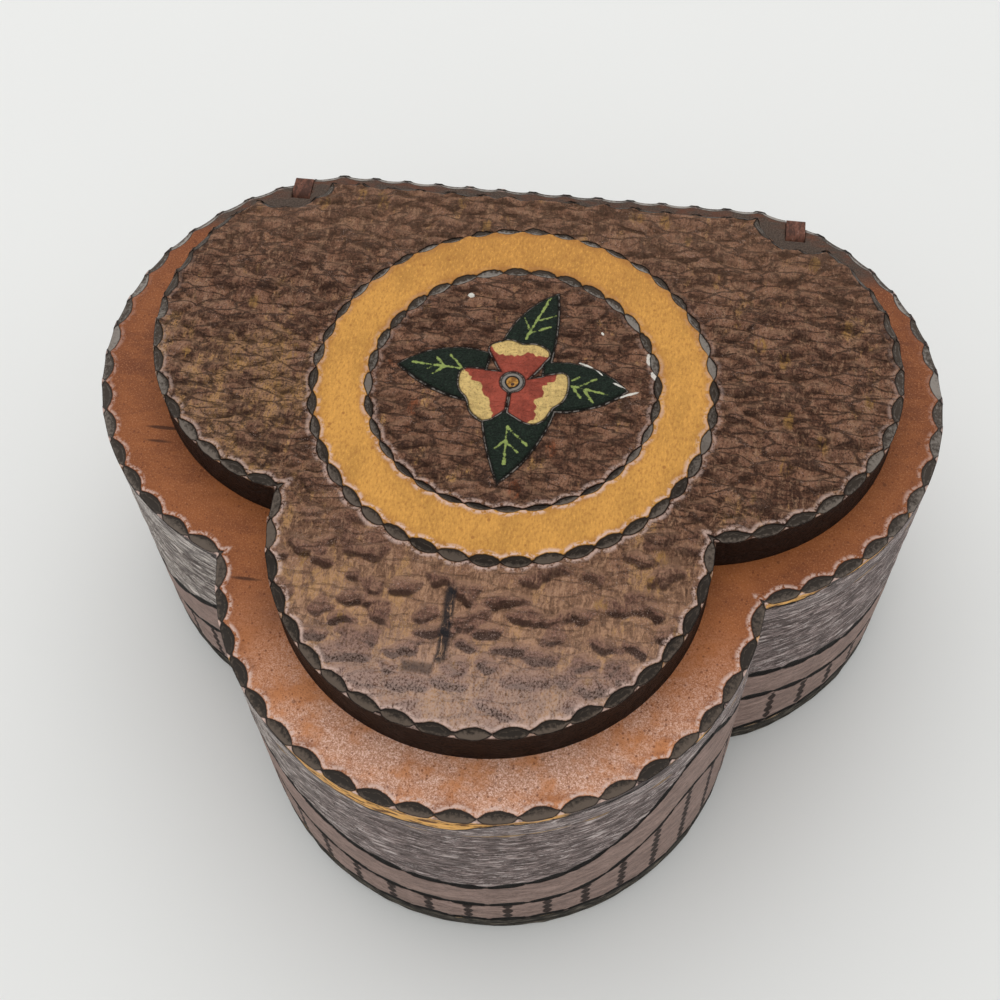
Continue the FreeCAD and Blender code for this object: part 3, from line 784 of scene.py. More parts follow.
def wall_stain(finish, carving):
    """Gouged and stained wall: burnt strokes, upright bars and smooth bands."""
    s = Shade("wall_stain", 0.6, 0.12)
    below = LID_TOP - s.z
    upper, lower = s.value("upper_line"), s.value("lower_line")
    foot = below - carving.foot_line
    dash, bar, cut = s.value("dash_end"), s.value("bar_off"), s.value("cut")
    stroke = 1.0 - dash * (dash * dash) * 0.65
    stroke = stroke * carving.stroke_half
    jitter = (s.noise(0.35, 2.0, shift=17.0) - 0.5) * 0.7
    burnt = s.within(upper + jitter, stroke, 0.14)
    for line in (lower, foot):
        burnt = burnt | s.within(line + jitter, stroke, 0.14)
    beads = abs(s.math("SINE", below * (math.pi / 2.6)))
    bar_half = s.math("MULTIPLY_ADD", beads, 0.6, 0.25)
    ends = s.ramp(lower, 0.5, 0.9) * s.ramp(foot, -1.0, -0.6, 1.0, 0.0)
    bars = s.within(bar + jitter, bar_half, 0.15) * ends
    gouges, scratch = gouged(s, finish)
    gouges = s.mix(s.ramp(cut, 0.25, 0.05), gouges, finish.wall_dark, 0.4)
    wear = s.noise(0.5, 4.0, 0.65, (0.4, 0.4, 1.2))
    fine = s.noise(2.6, 4.0, 0.65, (0.4, 0.4, 1.6), shift=9.0)
    band = s.mix(s.ramp(wear, 0.35, 0.65), finish.band * 0.7, finish.band)
    band = s.mix(s.ramp(fine, 0.48, 0.62), band, finish.band * 0.4, 0.6)
    tone = s.mix(s.ramp(upper, -0.2, 0.2), gouges, band)
    rough = s.mix(s.ramp(fine, 0.46, 0.64), finish.foot * 0.12, finish.foot)
    tone = s.layers(
        tone,
        ((foot, 0.3, 0.7), rough),
        (bars, finish.bar, 0.95),
        (burnt, finish.burnt))
    height = scratch + (burnt | bars) * -0.8
    return s.finish(tone, height, 0.22, 0.9)


def foot_wood(finish):
    """Rough grey-green edge of the bottom board."""
    s = Shade("foot_wood", 0.8, 0.2)
    rough = s.noise(0.8, 5.0, 0.7, (0.4, 0.4, 1.6))
    dark = finish.foot * 0.2
    tone = s.layers(
        s.mix(s.ramp(rough, 0.44, 0.64), dark, finish.foot),
        ((rough, 0.58, 0.68), finish.foot * 1.7, 0.7),
        (s.specks(0.9, 0.4, 0.35), dark, 0.6))
    return s.finish(tone, rough, 0.3, 0.9)


def golden_ring(s, finish, carving, out, back, mottle):
    """Golden wood of the flush ring, scorched along its edges, and where the ring lies."""
    gold_dark = finish.ring_dark
    grit = s.noise(2.6, 4.0, 0.75, (1.0, 0.45, 1.0), shift=51.0)
    wash = s.noise(0.16, 3.0, 0.6, (1.0, 0.5, 1.0), shift=43.0)
    ring = s.layers(
        s.mix(s.ramp(wash, 0.35, 0.7), finish.ring, finish.ring * 0.8),
        # painted shade darkens the ring towards the back
        ((back, 10.0, 32.0), gold_dark, 0.35),
        ((grit, 0.5, 0.64), gold_dark, 0.6),
        ((grit, 0.46, 0.36), finish.ring * 1.25, 0.6),
        (s.specks(0.5, 0.2, 0.2, shift=4.0), gold_dark, 0.8))
    outer, inner = carving.ring_outer, carving.ring_inner
    half = (outer - inner) / 2
    off_ring = abs(out - (outer + inner) / 2)
    scorched = s.ramp(off_ring, half - 2.2, half - 0.6)
    ring = s.mix(scorched * s.ramp(mottle, 0.3, 0.6), ring, gold_dark, 0.8)
    return ring, s.within(off_ring, half, 0.1)


def plaque_stain(finish, carving, middle_x, middle_y):
    """Bark with golden patches, the flush ring, its notches and the painted flower."""
    s = Shade("plaque_stain", 0.5, 0.12)
    bark, pale = finish.bark, finish.bark_pale
    right, back = s.x - middle_x, s.y - middle_y
    out = s.math("SQRT", right * right + back * back)
    height, crevice_shade, slope = s.value("height"), s.value("crevice_shade"), s.value("slope")
    fibre = s.noise(1.3, 5.0, 0.72, (1.0, 0.3, 1.0), twist=0.6)
    fine = s.noise(3.2, 4.0, 0.7, (1.0, 0.75, 1.0), shift=11.0)
    mottle = s.noise(0.3, 4.0, 0.65, shift=19.0)
    streak = s.noise(0.26, 6.0, 0.78, (1.0, 0.38, 1.0), shift=67.0)
    front = s.ramp(back, -14.0, -50.0)
    inside = s.ramp(out, 22.5, 24.0, 1.0, 0.0)
    sunny = front | s.ramp(right, -30.0, -55.0) * s.ramp(back, 10.0, -10.0)
    outside = s.ramp(inside, 0.0, 1.0, 1.0, 0.5)
    tone = s.mix(s.ramp(mottle, 0.38, 0.6), bark * 1.5, pale * 1.15)
    left = s.ramp(right, -29.0, -38.0) * s.ramp(back, 12.0, 2.0)
    gold = streak + s.value("patch") * 0.12 + left * 0.12
    gold = s.ramp(gold, 0.565, 0.65)
    gold = gold * (s.ramp(height, 0.45, 0.15, 0.15, 1.0) | left * 0.8)
    golden = s.mix(s.ramp(fibre, 0.44, 0.56), finish.fibre * 1.25, finish.ochre)
    # light is the fibre colour lit, paler still towards the front: a painted sheen. lit and shaded
    # paint light and shade on the lumps' sides.
    light = s.mix(front, finish.fibre, finish.fibre * 1.55)
    thread = s.ramp(fibre + front * 0.03, 0.5, 0.62) * outside
    lumps = s.ramp(height + front * 0.21, 0.2, 0.33) * (0.15 + front * 0.85)
    lump = s.mix(s.ramp(fine, 0.42, 0.6), s.mix(front, finish.lump * 0.5, finish.lump * 0.8),
                 s.mix(front, finish.lump * 1.7, finish.lump * 1.55))
    flecks = s.specks(0.22, 0.3, 0.5, (1.0, 0.6, 1.0), shift=29.0)
    rust = s.mix(inside, finish.ochre * 0.6, finish.rust)
    lit = s.ramp(slope, 0.05, 0.45) * s.ramp(front, 0.0, 1.0, 0.32, 0.42)
    shaded = s.ramp(slope, -0.08, -0.42) * s.ramp(front, 0.0, 1.0, 0.35, 0.85)
    crease = s.ramp(s.crinkle(0.27, 2.6, (0.55, 1.6, 1.0)), 0.02, 0.1, 1.0, 0.0)
    crease = crease * s.ramp(mottle, 0.42, 0.5)
    small = s.ramp(s.crinkle(0.5, 1.8, (0.6, 1.5, 1.0), 9.0), 0.03, 0.12, 1.0, 0.0)
    small = small * s.ramp(mottle, 0.54, 0.44, 0.1, 0.7)
    small = small * s.ramp(front, 0.0, 0.6, 1.0, 0.2)
    crease = crease | small
    faint = s.ramp(front, 0.0, 0.5, 1.0, 0.5)
    glints = s.ramp(s.noise(4.5, 3.0, 0.7, shift=37.0), 0.57, 0.66)
    glints = glints * s.ramp(mottle + front * 0.1, 0.5, 0.62)
    # Painted highlight as pale speckle along the plaque's front edge.
    brim_highlight = s.ramp(back, -42.0, -57.0) * s.ramp(fine, 0.38, 0.54)
    wander = (s.noise(0.25, 3.0, 0.6, shift=57.0) - 0.5) * 0.8
    scorch = s.within(right + (4.2 + wander), 0.8, 0.35) * s.within(back + 43.8, 6.4, 0.8)
    blot = s.within(back + 51.3, 0.9, 0.4) * s.within(right + 7.4, 2.3, 0.5)
    scorch = scorch * s.ramp(fibre, 0.66, 0.5) | blot * 0.7
    side = s.ramp(s.z, PLAQUE_TOP - 1.6, PLAQUE_TOP - 0.9, 1.0, 0.0)
    flank = s.mix(s.ramp(fine, 0.4, 0.65), bark * 0.15, bark * 0.5)
    worn = s.ramp(s.z, PLAQUE_TOP - 1.2, PLAQUE_TOP - 0.7) * s.ramp(mottle, 0.42, 0.54)
    flank = s.mix(worn, flank, finish.worn, 0.6)
    tone = s.layers(
        tone,
        (s.ramp(height, 0.4, 0.05) * sunny, finish.fibre, 0.6),
        (gold, golden, 0.75),
        (thread, light, 0.8),
        ((fibre, 0.46, 0.36), bark * 0.5, 0.4),
        (s.ramp(fine, 0.49, 0.38) * s.ramp(front, 0.0, 1.0, 1.0, 0.25), bark * 0.4, 0.75),
        ((fine, 0.55, 0.66), light, 0.5),
        (lumps * s.ramp(mottle + front * 0.07, 0.3, 0.44), lump, 0.78),
        (flecks * s.ramp(fibre, 0.44, 0.56), rust, 0.8),
        (lit, light),
        (shaded, bark * 0.45),
        (crease * faint, bark * 0.2, 0.72),
        # painted shade at the foot of each lump's steep front
        (s.ramp(crevice_shade + (fine - 0.5) * 0.7, 0.3, 0.75) * faint, bark * 0.4, 0.55),
        # painted sheen towards the back
        ((back, 16.0, 34.0), light, 0.13),
        (glints, finish.worn, 0.5),
        (brim_highlight, finish.worn * 0.95, 0.62),
        (scorch, (0.014, 0.016, 0.02), 0.88),
        (side, flank))
    ring, round_ring = golden_ring(s, finish, carving, out, back, mottle)
    tone = s.mix(round_ring, tone, ring)
    tone = flower(s, finish, tone, fine, mottle)
    tone, middle = burnt_notches(s, finish, tone)
    calm = s.math("MULTIPLY_ADD", round_ring | middle, -0.8, 1.0)
    relief = fibre * 0.9 + fine * 0.8 + crease * -0.5
    return s.finish(tone, relief * calm, 0.4, 1.0)


# Flakes of white: place from the box's middle, half length, half width and bearing.
CHIPS = ((-8.9, 28.4, 0.55, 0.55, 0),
         (22.1, 18.4, 1.33, 0.45, -78),
         (23.2, 15.2, 0.93, 0.50, -70),
         (12.0, 16.1, 1.20, 0.20, -18),
         (14.2, 14.7, 1.03, 0.15, -45),
         (17.7, 12.5, 1.04, 0.25, -16),
         (19.5, 11.0, 1.60, 0.25, 27),
         (14.0, 22.8, 0.35, 0.20, -51))


def flower(s, finish, tone, fine, mottle):
    """Paints the leaves, petals and heart over a tone, each with a burnt outline."""
    burnt = finish.burnt
    brush = s.noise(1.0, 4.0, 0.65, shift=61.0)
    leaf, petal, heart = s.value("leaf"), s.value("petal"), s.value("heart")
    green = s.mix(s.ramp(fine, 0.45, 0.7), finish.leaf, finish.leaf * 2.6)
    thin = s.value("vein") + (brush - 0.45) * 1.1
    veins = s.ramp(thin, 0.12, 0.3, 1.0, 0.0) * s.ramp(leaf, -0.6, -0.2, 1.0, 0.0)
    green = s.mix(veins, green, finish.vein, 0.85)
    red = s.mix(s.ramp(mottle, 0.35, 0.65), finish.petal * 0.7, finish.petal)
    cream = s.mix(s.ramp(brush, 0.4, 0.62), finish.tip * 0.8, finish.tip)
    cream = s.mix(s.specks(1.6, 0.25, 0.3), cream, finish.ochre * 0.6, 0.7)
    red = s.layers(
        red,
        ((brush, 0.5, 0.7), finish.petal * 1.25, 0.6),
        ((s.value("tip"), -0.12, 0.12), cream),
        ((fine, 0.52, 0.66), finish.petal * 0.35, 0.45))
    core = s.layers(
        s.mix(s.ramp(brush, 0.4, 0.6), finish.ring, finish.ring_dark * 0.7),
        ((heart, 0.95, 1.1), finish.grey_and_sheen * 0.9),
        (s.within(heart - 1.1, 0.14, 0.1), burnt))
    gaps = ((leaf, green, 0.75), (petal, red, 0.8), (heart - 1.95, core, 0.6))
    # Each outline is a burnt line with a painted highlight along it.
    for gap, paint, highlight_share in gaps:
        line = s.within(gap, 0.07, 0.08) * s.ramp(brush, 0.44, 0.56)
        tone = s.layers(
            tone,
            ((gap, -0.1, 0.1, 1.0, 0.0), paint),
            (s.within(gap, 0.26, 0.14), burnt, 0.9),
            (line, finish.grey_and_sheen * 1.2, highlight_share))
    for right, back, long, wide, turn in CHIPS:
        spot = s.vector("SUBTRACT", s.place, (right, back, 0.0))
        across, away = math.cos(math.radians(turn)), math.sin(math.radians(turn))
        first = s.dot(spot, (across / long, away / long, 0.0))
        second = s.dot(spot, (-away / wide, across / wide, 0.0))
        size = s.math("SQRT", first * first + second * second)
        size = size + (brush - 0.5) * 1.6
        tone = s.mix(s.ramp(size, 0.8, 1.1, 1.0, 0.0), tone, (0.85, 0.82, 0.74), 0.95)
    return tone


def peg_wood(finish):
    """Reddish hardwood with upright grain and a paler worn face."""
    s = Shade("peg_wood", 0.6, 0.25)
    grain = s.noise(1.4, 4.0, 0.65, (1.0, 0.5, 0.3))
    tone = s.layers(
        s.mix(s.ramp(grain, 0.38, 0.62), finish.peg * 0.5, finish.peg * 1.3),
        ((grain, 0.6, 0.75), finish.worn * 0.6, 0.6),
        (s.specks(1.8, 0.3, 0.3, (1.0, 1.0, 0.4)), finish.peg * 0.4, 0.8))
    return s.finish(tone, grain, 0.12, 0.7)


def pin_steel():
    """Drawn steel wire, dulled along its length."""
    s = Shade("pin_steel", 0.38)
    s.surface.inputs["Metallic"].default_value = 1.0
    drawn = s.noise(6.0, 3.0, 0.6, (0.1, 1.0, 1.0))
    return s.finish(s.mix(drawn, (0.24, 0.22, 0.2), (0.52, 0.5, 0.47)), drawn, 0.02, 0.4)


# ---------------------------------------------------------------- pieces


# Height of each swag line below the lid's top: fraction along the run, upper, lower.
SWAGS = {
    0: ((0.0, 24, 36), (0.25, 31, 41), (0.6, 34, 43), (0.8, 33, 42), (0.87, 29.3, 39.5),
        (0.95, 24.6, 35.7), (1.0, 20.3, 32.6)),
    1: ((0.0, 27, 36.5), (0.21, 31, 41), (0.45, 32, 43), (0.75, 30, 41), (1.0, 24, 36)),
    2: ((0.0, 22.4, 33.4), (0.08, 13, 31), (0.16, 19.7, 34.5), (0.23, 23, 37), (0.38, 30.5, 41),
        (0.53, 32.5, 42), (0.65, 28.5, 40.2), (0.74, 18.5, 32.5), (0.79, 10, 26),
        (0.82, 4.4, 21.6), (0.9, 15, 29), (1.0, 27, 36.5)),
    -1: ((0.0, 24, 36), (0.5, 32, 43), (1.0, 24, 36)),
}
# Where the upright bars start along the same runs, as a fraction of their spacing.
BAR_SHIFT = {0: 0.0, 1: 0.5, 2: 0.0, -1: 0.0}


def swags(part, owner):
    """Levels of the upper and lower line: straight between the knots, then averaged."""
    levels = []
    for column in (1, 2):
        level = np.zeros_like(part)
        for piece, knots in SWAGS.items():
            knots = np.array(knots)
            blurred = sum(np.interp(np.clip(part + d, 0.0, 1.0), knots[:, 0], knots[:, column])
                          for d in np.linspace(-0.03, 0.03, 5)) / 5
            level = np.where(owner == piece, blurred, level)
        levels.append(level)
    return levels


def place(x, y, z, shape):
    """Points of a piece, moved from the ring's middle to the box's own place."""
    parts = np.broadcast_arrays(x + shape.ring_x, y + shape.ring_y, z)
    return np.stack(parts, -1).reshape(-1, 3)


def make_wall(shape, carving, finish):
    """The gouged wall: its section is carried round the outline.

    Outside, a point is moved inwards by the depth of the cuts, which are scales
    laid along the wall above the upper line; the section goes on over the top, down
    the plain inner face and back under.
    """
    outer, inner = wall_lobes(shape), wall_lobes(shape, shape.wall)
    angle = outer.stations(0.52)
    x0, y0, nx, ny, _ = outer.edge(angle)
    owner = outer.reach(angle)[1]
    part, start, size = outer.along(x0, y0, owner)
    run = start + part * size
    upper, lower = swags(part, owner)
    outside, inside = 88, 7  # rows up the outer face, and down the inner face
    z = np.linspace(FOOT_TOP, WALL_TOP, outside)[:, None]
    below = LID_TOP - z
    corner = smooth(np.minimum(part, 1 - part) * size, 0.0, 1.2)
    cuts = scales(run / carving.gouge_width, z / carving.gouge_height, 11, 0.05)
    gouged = smooth(upper - below, -0.3, 0.6)
    waves = cloud(run / 7.0, z / 3.0, 12)
    depth = carving.gouge_depth * ((1 - cuts) * gouged + 0.5 * (1 - gouged) * waves)
    depth = depth * (0.35 + 0.65 * corner)
    dash = swing(part, size, carving.dash_pitch)
    stroke = carving.stroke_half * (1.0 - 0.9 * dash ** 3)
    for line in (upper, lower, np.full_like(upper, carving.foot_line)):
        depth = depth + 0.22 * np.clip(1.0 - ((below - line) / stroke) ** 2, 0.0, 1.0)
    x, y = x0 + nx * depth, y0 + ny * depth
    xi, yi = inner.edge(angle)[:2]
    over = np.array([0.5, 1.0])[:, None]
    rows = [place(x, y, z, shape),
            place(x[-1] + (xi - x[-1]) * over, y[-1] + (yi - y[-1]) * over, WALL_TOP, shape),
            place(xi, yi, np.linspace(WALL_TOP, FOOT_TOP, inside + 1)[1:, None], shape)]
    columns, total = len(angle), outside + len(over) + inside
    faces = quads(total, columns, wrap_rows=True)
    # Behind the back, the outer half of the top keeps the dark stain in place of bare wood: painted
    # shade in the gap under the lid.
    behind = y0 > shape.back - 5.0
    slots = (np.arange(total)[:, None] >= outside - 1 + behind).ravel()
    piece = make_mesh("carved_wall", np.concatenate(rows), [faces],
                      [wall_stain(finish, carving), bare_wood(finish)], slots)
    level = points_of(piece)[:, 2].reshape(total, columns)
    bar_count = np.round(size / carving.bar_pitch)
    shift = np.select([owner == k for k in BAR_SHIFT], list(BAR_SHIFT.values()))
    bar = (np.mod(part * bar_count + shift, 1.0) - 0.5) * size / bar_count
    cut = np.concatenate([cuts, np.ones((total - outside, columns))])
    mark(piece, upper_line=LID_TOP - level - upper, lower_line=LID_TOP - level - lower,
         dash_end=dash + 0 * level, bar_off=np.abs(bar) + 3.0 * (1 - corner) + 0 * level, cut=cut)
    settle(piece, "box", "wall_wood", "box_body")


def make_foot(shape, finish):
    """The bottom board: a flat disc with the walls' outline and a rough edge."""
    outline = wall_lobes(shape)
    angle = outline.stations(0.7)
    x0, y0, nx, ny, run = outline.edge(angle)
    z = np.linspace(0.0, FOOT_TOP, 10)[:, None]
    rough = 0.22 * cloud(run / 2.2, z / 0.9, 21) + 0.16 * cloud(run / 9.0, z / 4.0, 22)
    rough = rough + 0.4 * smooth(0.7 - z, 0.0, 0.7)
    share = np.array([0.5, 0.93])[:, None]
    back = share[::-1]
    points = np.concatenate([place(x0 * share, y0 * share, 0.0, shape),
                             place(x0 + nx * rough, y0 + ny * rough, z, shape),
                             place(x0 * back, y0 * back, FOOT_TOP, shape),
                             place(0.0, 0.0, np.array([0.0, FOOT_TOP]), shape)])
    columns, total = len(angle), len(z) + 2 * len(share)
    last = total * columns
    faces = [quads(total, columns), fan(last, 0, columns, flip=True),
             fan(last + 1, (total - 1) * columns, columns)]
    floor = np.arange(total - 1) >= len(z) + len(share) - 1
    slots = np.concatenate([np.repeat(floor, columns), np.zeros(columns), np.ones(columns)])
    piece = make_mesh("foot_board", points, faces, [foot_wood(finish), bare_wood(finish)], slots)
    settle(piece, "box", "base_wood", "bottom_board")


def lid_rows(outline, plaque, angle):
    """Radii of the rows of the lid's top, from its middle to its rim."""
    radius = outline.reach(angle)[0]
    under = plaque.reach(angle)[0]
    margin = 3.0  # the rim that holds the notches
    hidden = np.linspace(0.0, 0.97, 5)[1:, None] * under
    shown = under + np.linspace(0.0, 1.0, 9)[:, None] * (radius - margin - under)
    rim = radius - np.linspace(margin - 0.3, 0.15, 11)[:, None]
    return np.concatenate([hidden, shown, rim, radius[None]])


def make_lid(shape, carving, finish):
    """The lid board: its section is carried round the outline, with a pole at each side.

    The top dips by the depth of the notches, the edge drops to the underside, and
    the underside rises behind the hinge as a quarter round about the hinge's axis.
    """
    outline, plaque = wall_lobes(shape), plaque_lobes(shape)
    angle = outline.stations(0.42)
    reaches = lid_rows(outline, plaque, angle)
    x, y = reaches * np.cos(angle), reaches * np.sin(angle)
    row = (carving.rim_row, carving.notch_half, carving.notch_pitch, 0.4)
    _, dip, _, _, depth = rim_notches(outline, x, y, *row)
    dip = carving.notch_depth * dip
    grain = 0.05 * cloud(x / 6.0, y / 1.2, 31) * smooth(depth, 0.0, 1.0)
    top = LID_TOP - dip - grain - 0.15 * smooth(0.12 - depth, 0.0, 0.12)
    x0, y0, nx, ny, run = outline.edge(angle)
    hinge_y, low = HINGE_Y - shape.ring_y, LID_LOW - 0.2

    def underside(y):
        """Level of the underside: flat, and a circle about the hinge's axis behind it."""
        past = np.maximum(y - hinge_y, 0.0)
        return HINGE_Z - np.sqrt(np.maximum((HINGE_Z - low) ** 2 - past ** 2, 0.0))

    foot = underside(y0)
    fall = np.linspace(1.0, 0.0, 13)[1:, None]
    side = foot + (top[-1] - foot) * fall
    wear = 0.25 * cloud(run / 5.0, side / 1.4, 33)
    wear = wear + 0.18 * np.exp(-((LID_TOP - side - carving.lip) / 0.25) ** 2)
    under = np.array([0.99, 0.97, 0.95, 0.92, 0.88, 0.82, 0.7, 0.4])[:, None]
    rows = [place(x, y, top, shape), place(x0 + nx * wear, y0 + ny * wear, side, shape),
            place(x0 * under, y0 * under, underside(y0 * under), shape),
            place(0.0, 0.0, np.array([LID_TOP, low]), shape)]
    points = np.concatenate(rows)
    columns = len(angle)
    total = len(points) // columns
    last = total * columns
    faces = [quads(total, columns)[:, ::-1], fan(last, 0, columns),
             fan(last + 1, (total - 1) * columns, columns, flip=True)]
    # Behind the hinge the underside keeps the dark stain in place of bare wood: painted shade in
    # the gap above the wall.
    past = np.concatenate([y0 + 0 * side, y0 * under]) > hinge_y - 1.0
    slots = np.arange(total - 1)[:, None] >= len(reaches) + len(side) - 1
    slots = np.repeat(slots, columns, 1)
    slots[len(reaches):] &= ~past[1:]
    slots = np.concatenate([slots.ravel(), np.zeros(columns), np.ones(columns)])
    piece = make_mesh("carved_lid", points, faces,
                      [lid_stain(finish, carving), bare_wood(finish)], slots)
    cut_slots(piece, shape)
    here = points_of(piece)
    x, y = here[:, 0] - shape.ring_x, here[:, 1] - shape.ring_y
    notch, dip, facing, luck, depth = rim_notches(outline, x, y, *row)
    side = smooth(LID_TOP - carving.notch_depth * dip - here[:, 2], 0.2, 0.5)
    mark(piece, edge=depth, notch=notch - 3.0 * side, facing=facing, luck=luck, side=side)
    settle(piece, "lid", "lid_wood", "lid_board")


def cut_slots(piece, shape):
    """Cuts the two open slots of the hinge pegs out of the lid's back edge."""
    for side in ("left", "right"):
        low, high = PEG_BOX[side]
        gap = 0.12
        x = np.array([low.x, high.x]) / MM + (-gap, gap)
        y = np.array([low.y / MM - 0.3, shape.back + shape.ring_y + 2.0])
        z = np.array([LID_LOW - 2.0, LID_TOP + 2.0])
        corners = np.stack(np.meshgrid(x, y, z, indexing="ij"), -1).reshape(-1, 3)
        faces = np.array([(0, 1, 3, 2), (4, 6, 7, 5), (0, 4, 5, 1), (2, 3, 7, 6),
                          (0, 2, 6, 4), (1, 5, 7, 3)])
        cutter = make_mesh("slot_cutter", corners, [faces], [])
        cut = piece.modifiers.new("slot", "BOOLEAN")
        cut.operation, cut.solver, cut.object = "DIFFERENCE", "EXACT", cutter
        bpy.context.view_layer.objects.active = piece
        bpy.ops.object.modifier_apply(modifier=cut.name)
        spare = cutter.data
        bpy.data.objects.remove(cutter)
        bpy.data.meshes.remove(spare)


# The leaves: the point; a place half way and the root on each side; the midrib's ends;
# and the side veins as shares of the midrib and lengths, less than 0 to the right.
LEAVES = (
    ((5.4, 19.3), ((0.1, 14.3), (-2.4, 9.0)), ((6.1, 11.5), (5.9, 5.9)),
     ((4.2, 18.0), (1.1, 9.0)), ((0.82, 2.8), (0.58, -4.0), (0.86, -3.7))),
    ((-19.2, 1.7), ((-13.0, 5.5), (-5.1, 5.8)), ((-14.4, -1.7), (-7.8, -4.1)),
     ((-16.8, 2.1), (-7.7, 1.7)), ((0.59, -2.4), (0.91, -3.4), (0.6, 2.6), (0.4, 1.3))),
    ((18.8, 0.6), ((12.5, 4.5), (6.1, 4.9)), ((13.6, -3.3), (7.5, -4.8)),
     ((15.6, -0.7), (8.4, 0.5)), ((0.7, 3.6), (1.0, 3.0), (0.8, -2.4), (0.55, -3.0))),
    ((0.1, -19.4), ((-2.4, -13.2), (-3.9, -7.7)), ((4.3, -13.6), (6.6, -8.2)),
     ((0.7, -15.8), (0.3, -8.8)), ((1.0, 4.8), (0.6, 2.7), (0.64, -2.4))),
)


def disc_through(first, second, third):
    """Centre and radius of the circle through three places."""
    a, b = np.subtract(second, first), np.subtract(third, first)
    double = 2.0 * (a[0] * b[1] - a[1] * b[0])
    middle = np.array([b[1] * (a @ a) - a[1] * (b @ b), a[0] * (b @ b) - b[0] * (a @ a)]) / double
    return middle[0] + first[0], middle[1] + first[1], math.hypot(*middle)


def stroke_gap(x, y, start, end):
    """Distance from a straight stroke."""
    (ax, ay), (bx, by) = start, end
    size = (bx - ax) ** 2 + (by - ay) ** 2
    share = np.clip(((x - ax) * (bx - ax) + (y - ay) * (by - ay)) / size, 0.0, 1.0)
    return np.hypot(x - ax - share * (bx - ax), y - ay - share * (by - ay))


# The petals: outer radius; bearing of the dent in the outer edge; bearing and distance of
# the edge of the cream; and bearing and distance of each straight side's normal.
PETALS = (
    (8.7, 84.0, 88.0, 5.6, ((211.0, 0.9), (-32.0, 1.7))),
    (8.9, 211.0, 209.0, 5.2, ((90.0, 2.1), (-44.0, 3.6), (0.0, -0.4))),
    (9.2, 327.0, 340.0, 5.0, ((108.0, 0.25), (-120.0, 5.3), (180.0, 0.1))),
)


def petals(x, y):
    """Signed gaps of the flower: outside the petals, and beyond the edge of the cream.

    A petal lies inside a circle about the heart and behind its straight sides; its
    corners are rounded by joining these gaps as the legs of a right angle.
    """
    radius, bearing = np.hypot(x, y), np.arctan2(y, x)
    petal, tip = np.full_like(x, 9.0), np.full_like(x, -9.0)
    for reach, dent, turn, cream, sides in PETALS:
        turned = (bearing - math.radians(dent) + math.pi) % TURN - math.pi
        a = radius - reach + 0.8 * np.exp(-(turned / 0.2) ** 2) + 1.3
        b = np.full_like(x, -9.0)
        for normal, distance in sides:
            normal = math.radians(normal)
            b = np.maximum(b, x * math.cos(normal) + y * math.sin(normal) - distance)
        b = b + 1.3
        gap = np.hypot(np.maximum(a, 0), np.maximum(b, 0)) + np.minimum(np.maximum(a, b), 0) - 1.3
        turn = math.radians(turn)
        far = x * math.cos(turn) + y * math.sin(turn)
        beside = y * math.cos(turn) - x * math.sin(turn)
        ragged = 1.5 * (cloud(beside * 0.6, turn, 61) - 0.5)
        ragged = ragged + 0.7 * (cloud(beside * 2.0, turn, 62) - 0.5)
        nearer = gap < petal
        tip = np.where(nearer, far - cream - ragged - 0.03 * beside ** 2, tip)
        petal = np.where(nearer, gap, petal)
    return petal, tip


def leaves(x, y):
    """Signed gap outside the leaves, and the distance from the nearest vein.

    A leaf is where two discs overlap, each drawn through the point and two places on
    one side; the side veins leave the midrib towards the point at 45 degrees.
    """
    leaf, vein = np.full_like(x, 9.0), np.full_like(x, 9.0)
    for point, left, right, (far, near), branches in LEAVES:
        gap = 4.8 - (x * point[0] + y * point[1]) / math.hypot(*point)
        for side in (left, right):
            cx, cy, r = disc_through(point, *side)
            gap = np.maximum(gap, np.hypot(x - cx, y - cy) - r)
        leaf = np.minimum(leaf, gap)
        vein = np.minimum(vein, stroke_gap(x, y, far, near))
        way = math.atan2(far[1] - near[1], far[0] - near[0])
        for share, size in branches:
            root = [f + share * (n - f) for f, n in zip(far, near)]
            turned = way + math.copysign(math.pi / 4, size)
            end = [root[0] + abs(size) * math.cos(turned), root[1] + abs(size) * math.sin(turned)]
            vein = np.minimum(vein, stroke_gap(x, y, root, end))
    return leaf, vein


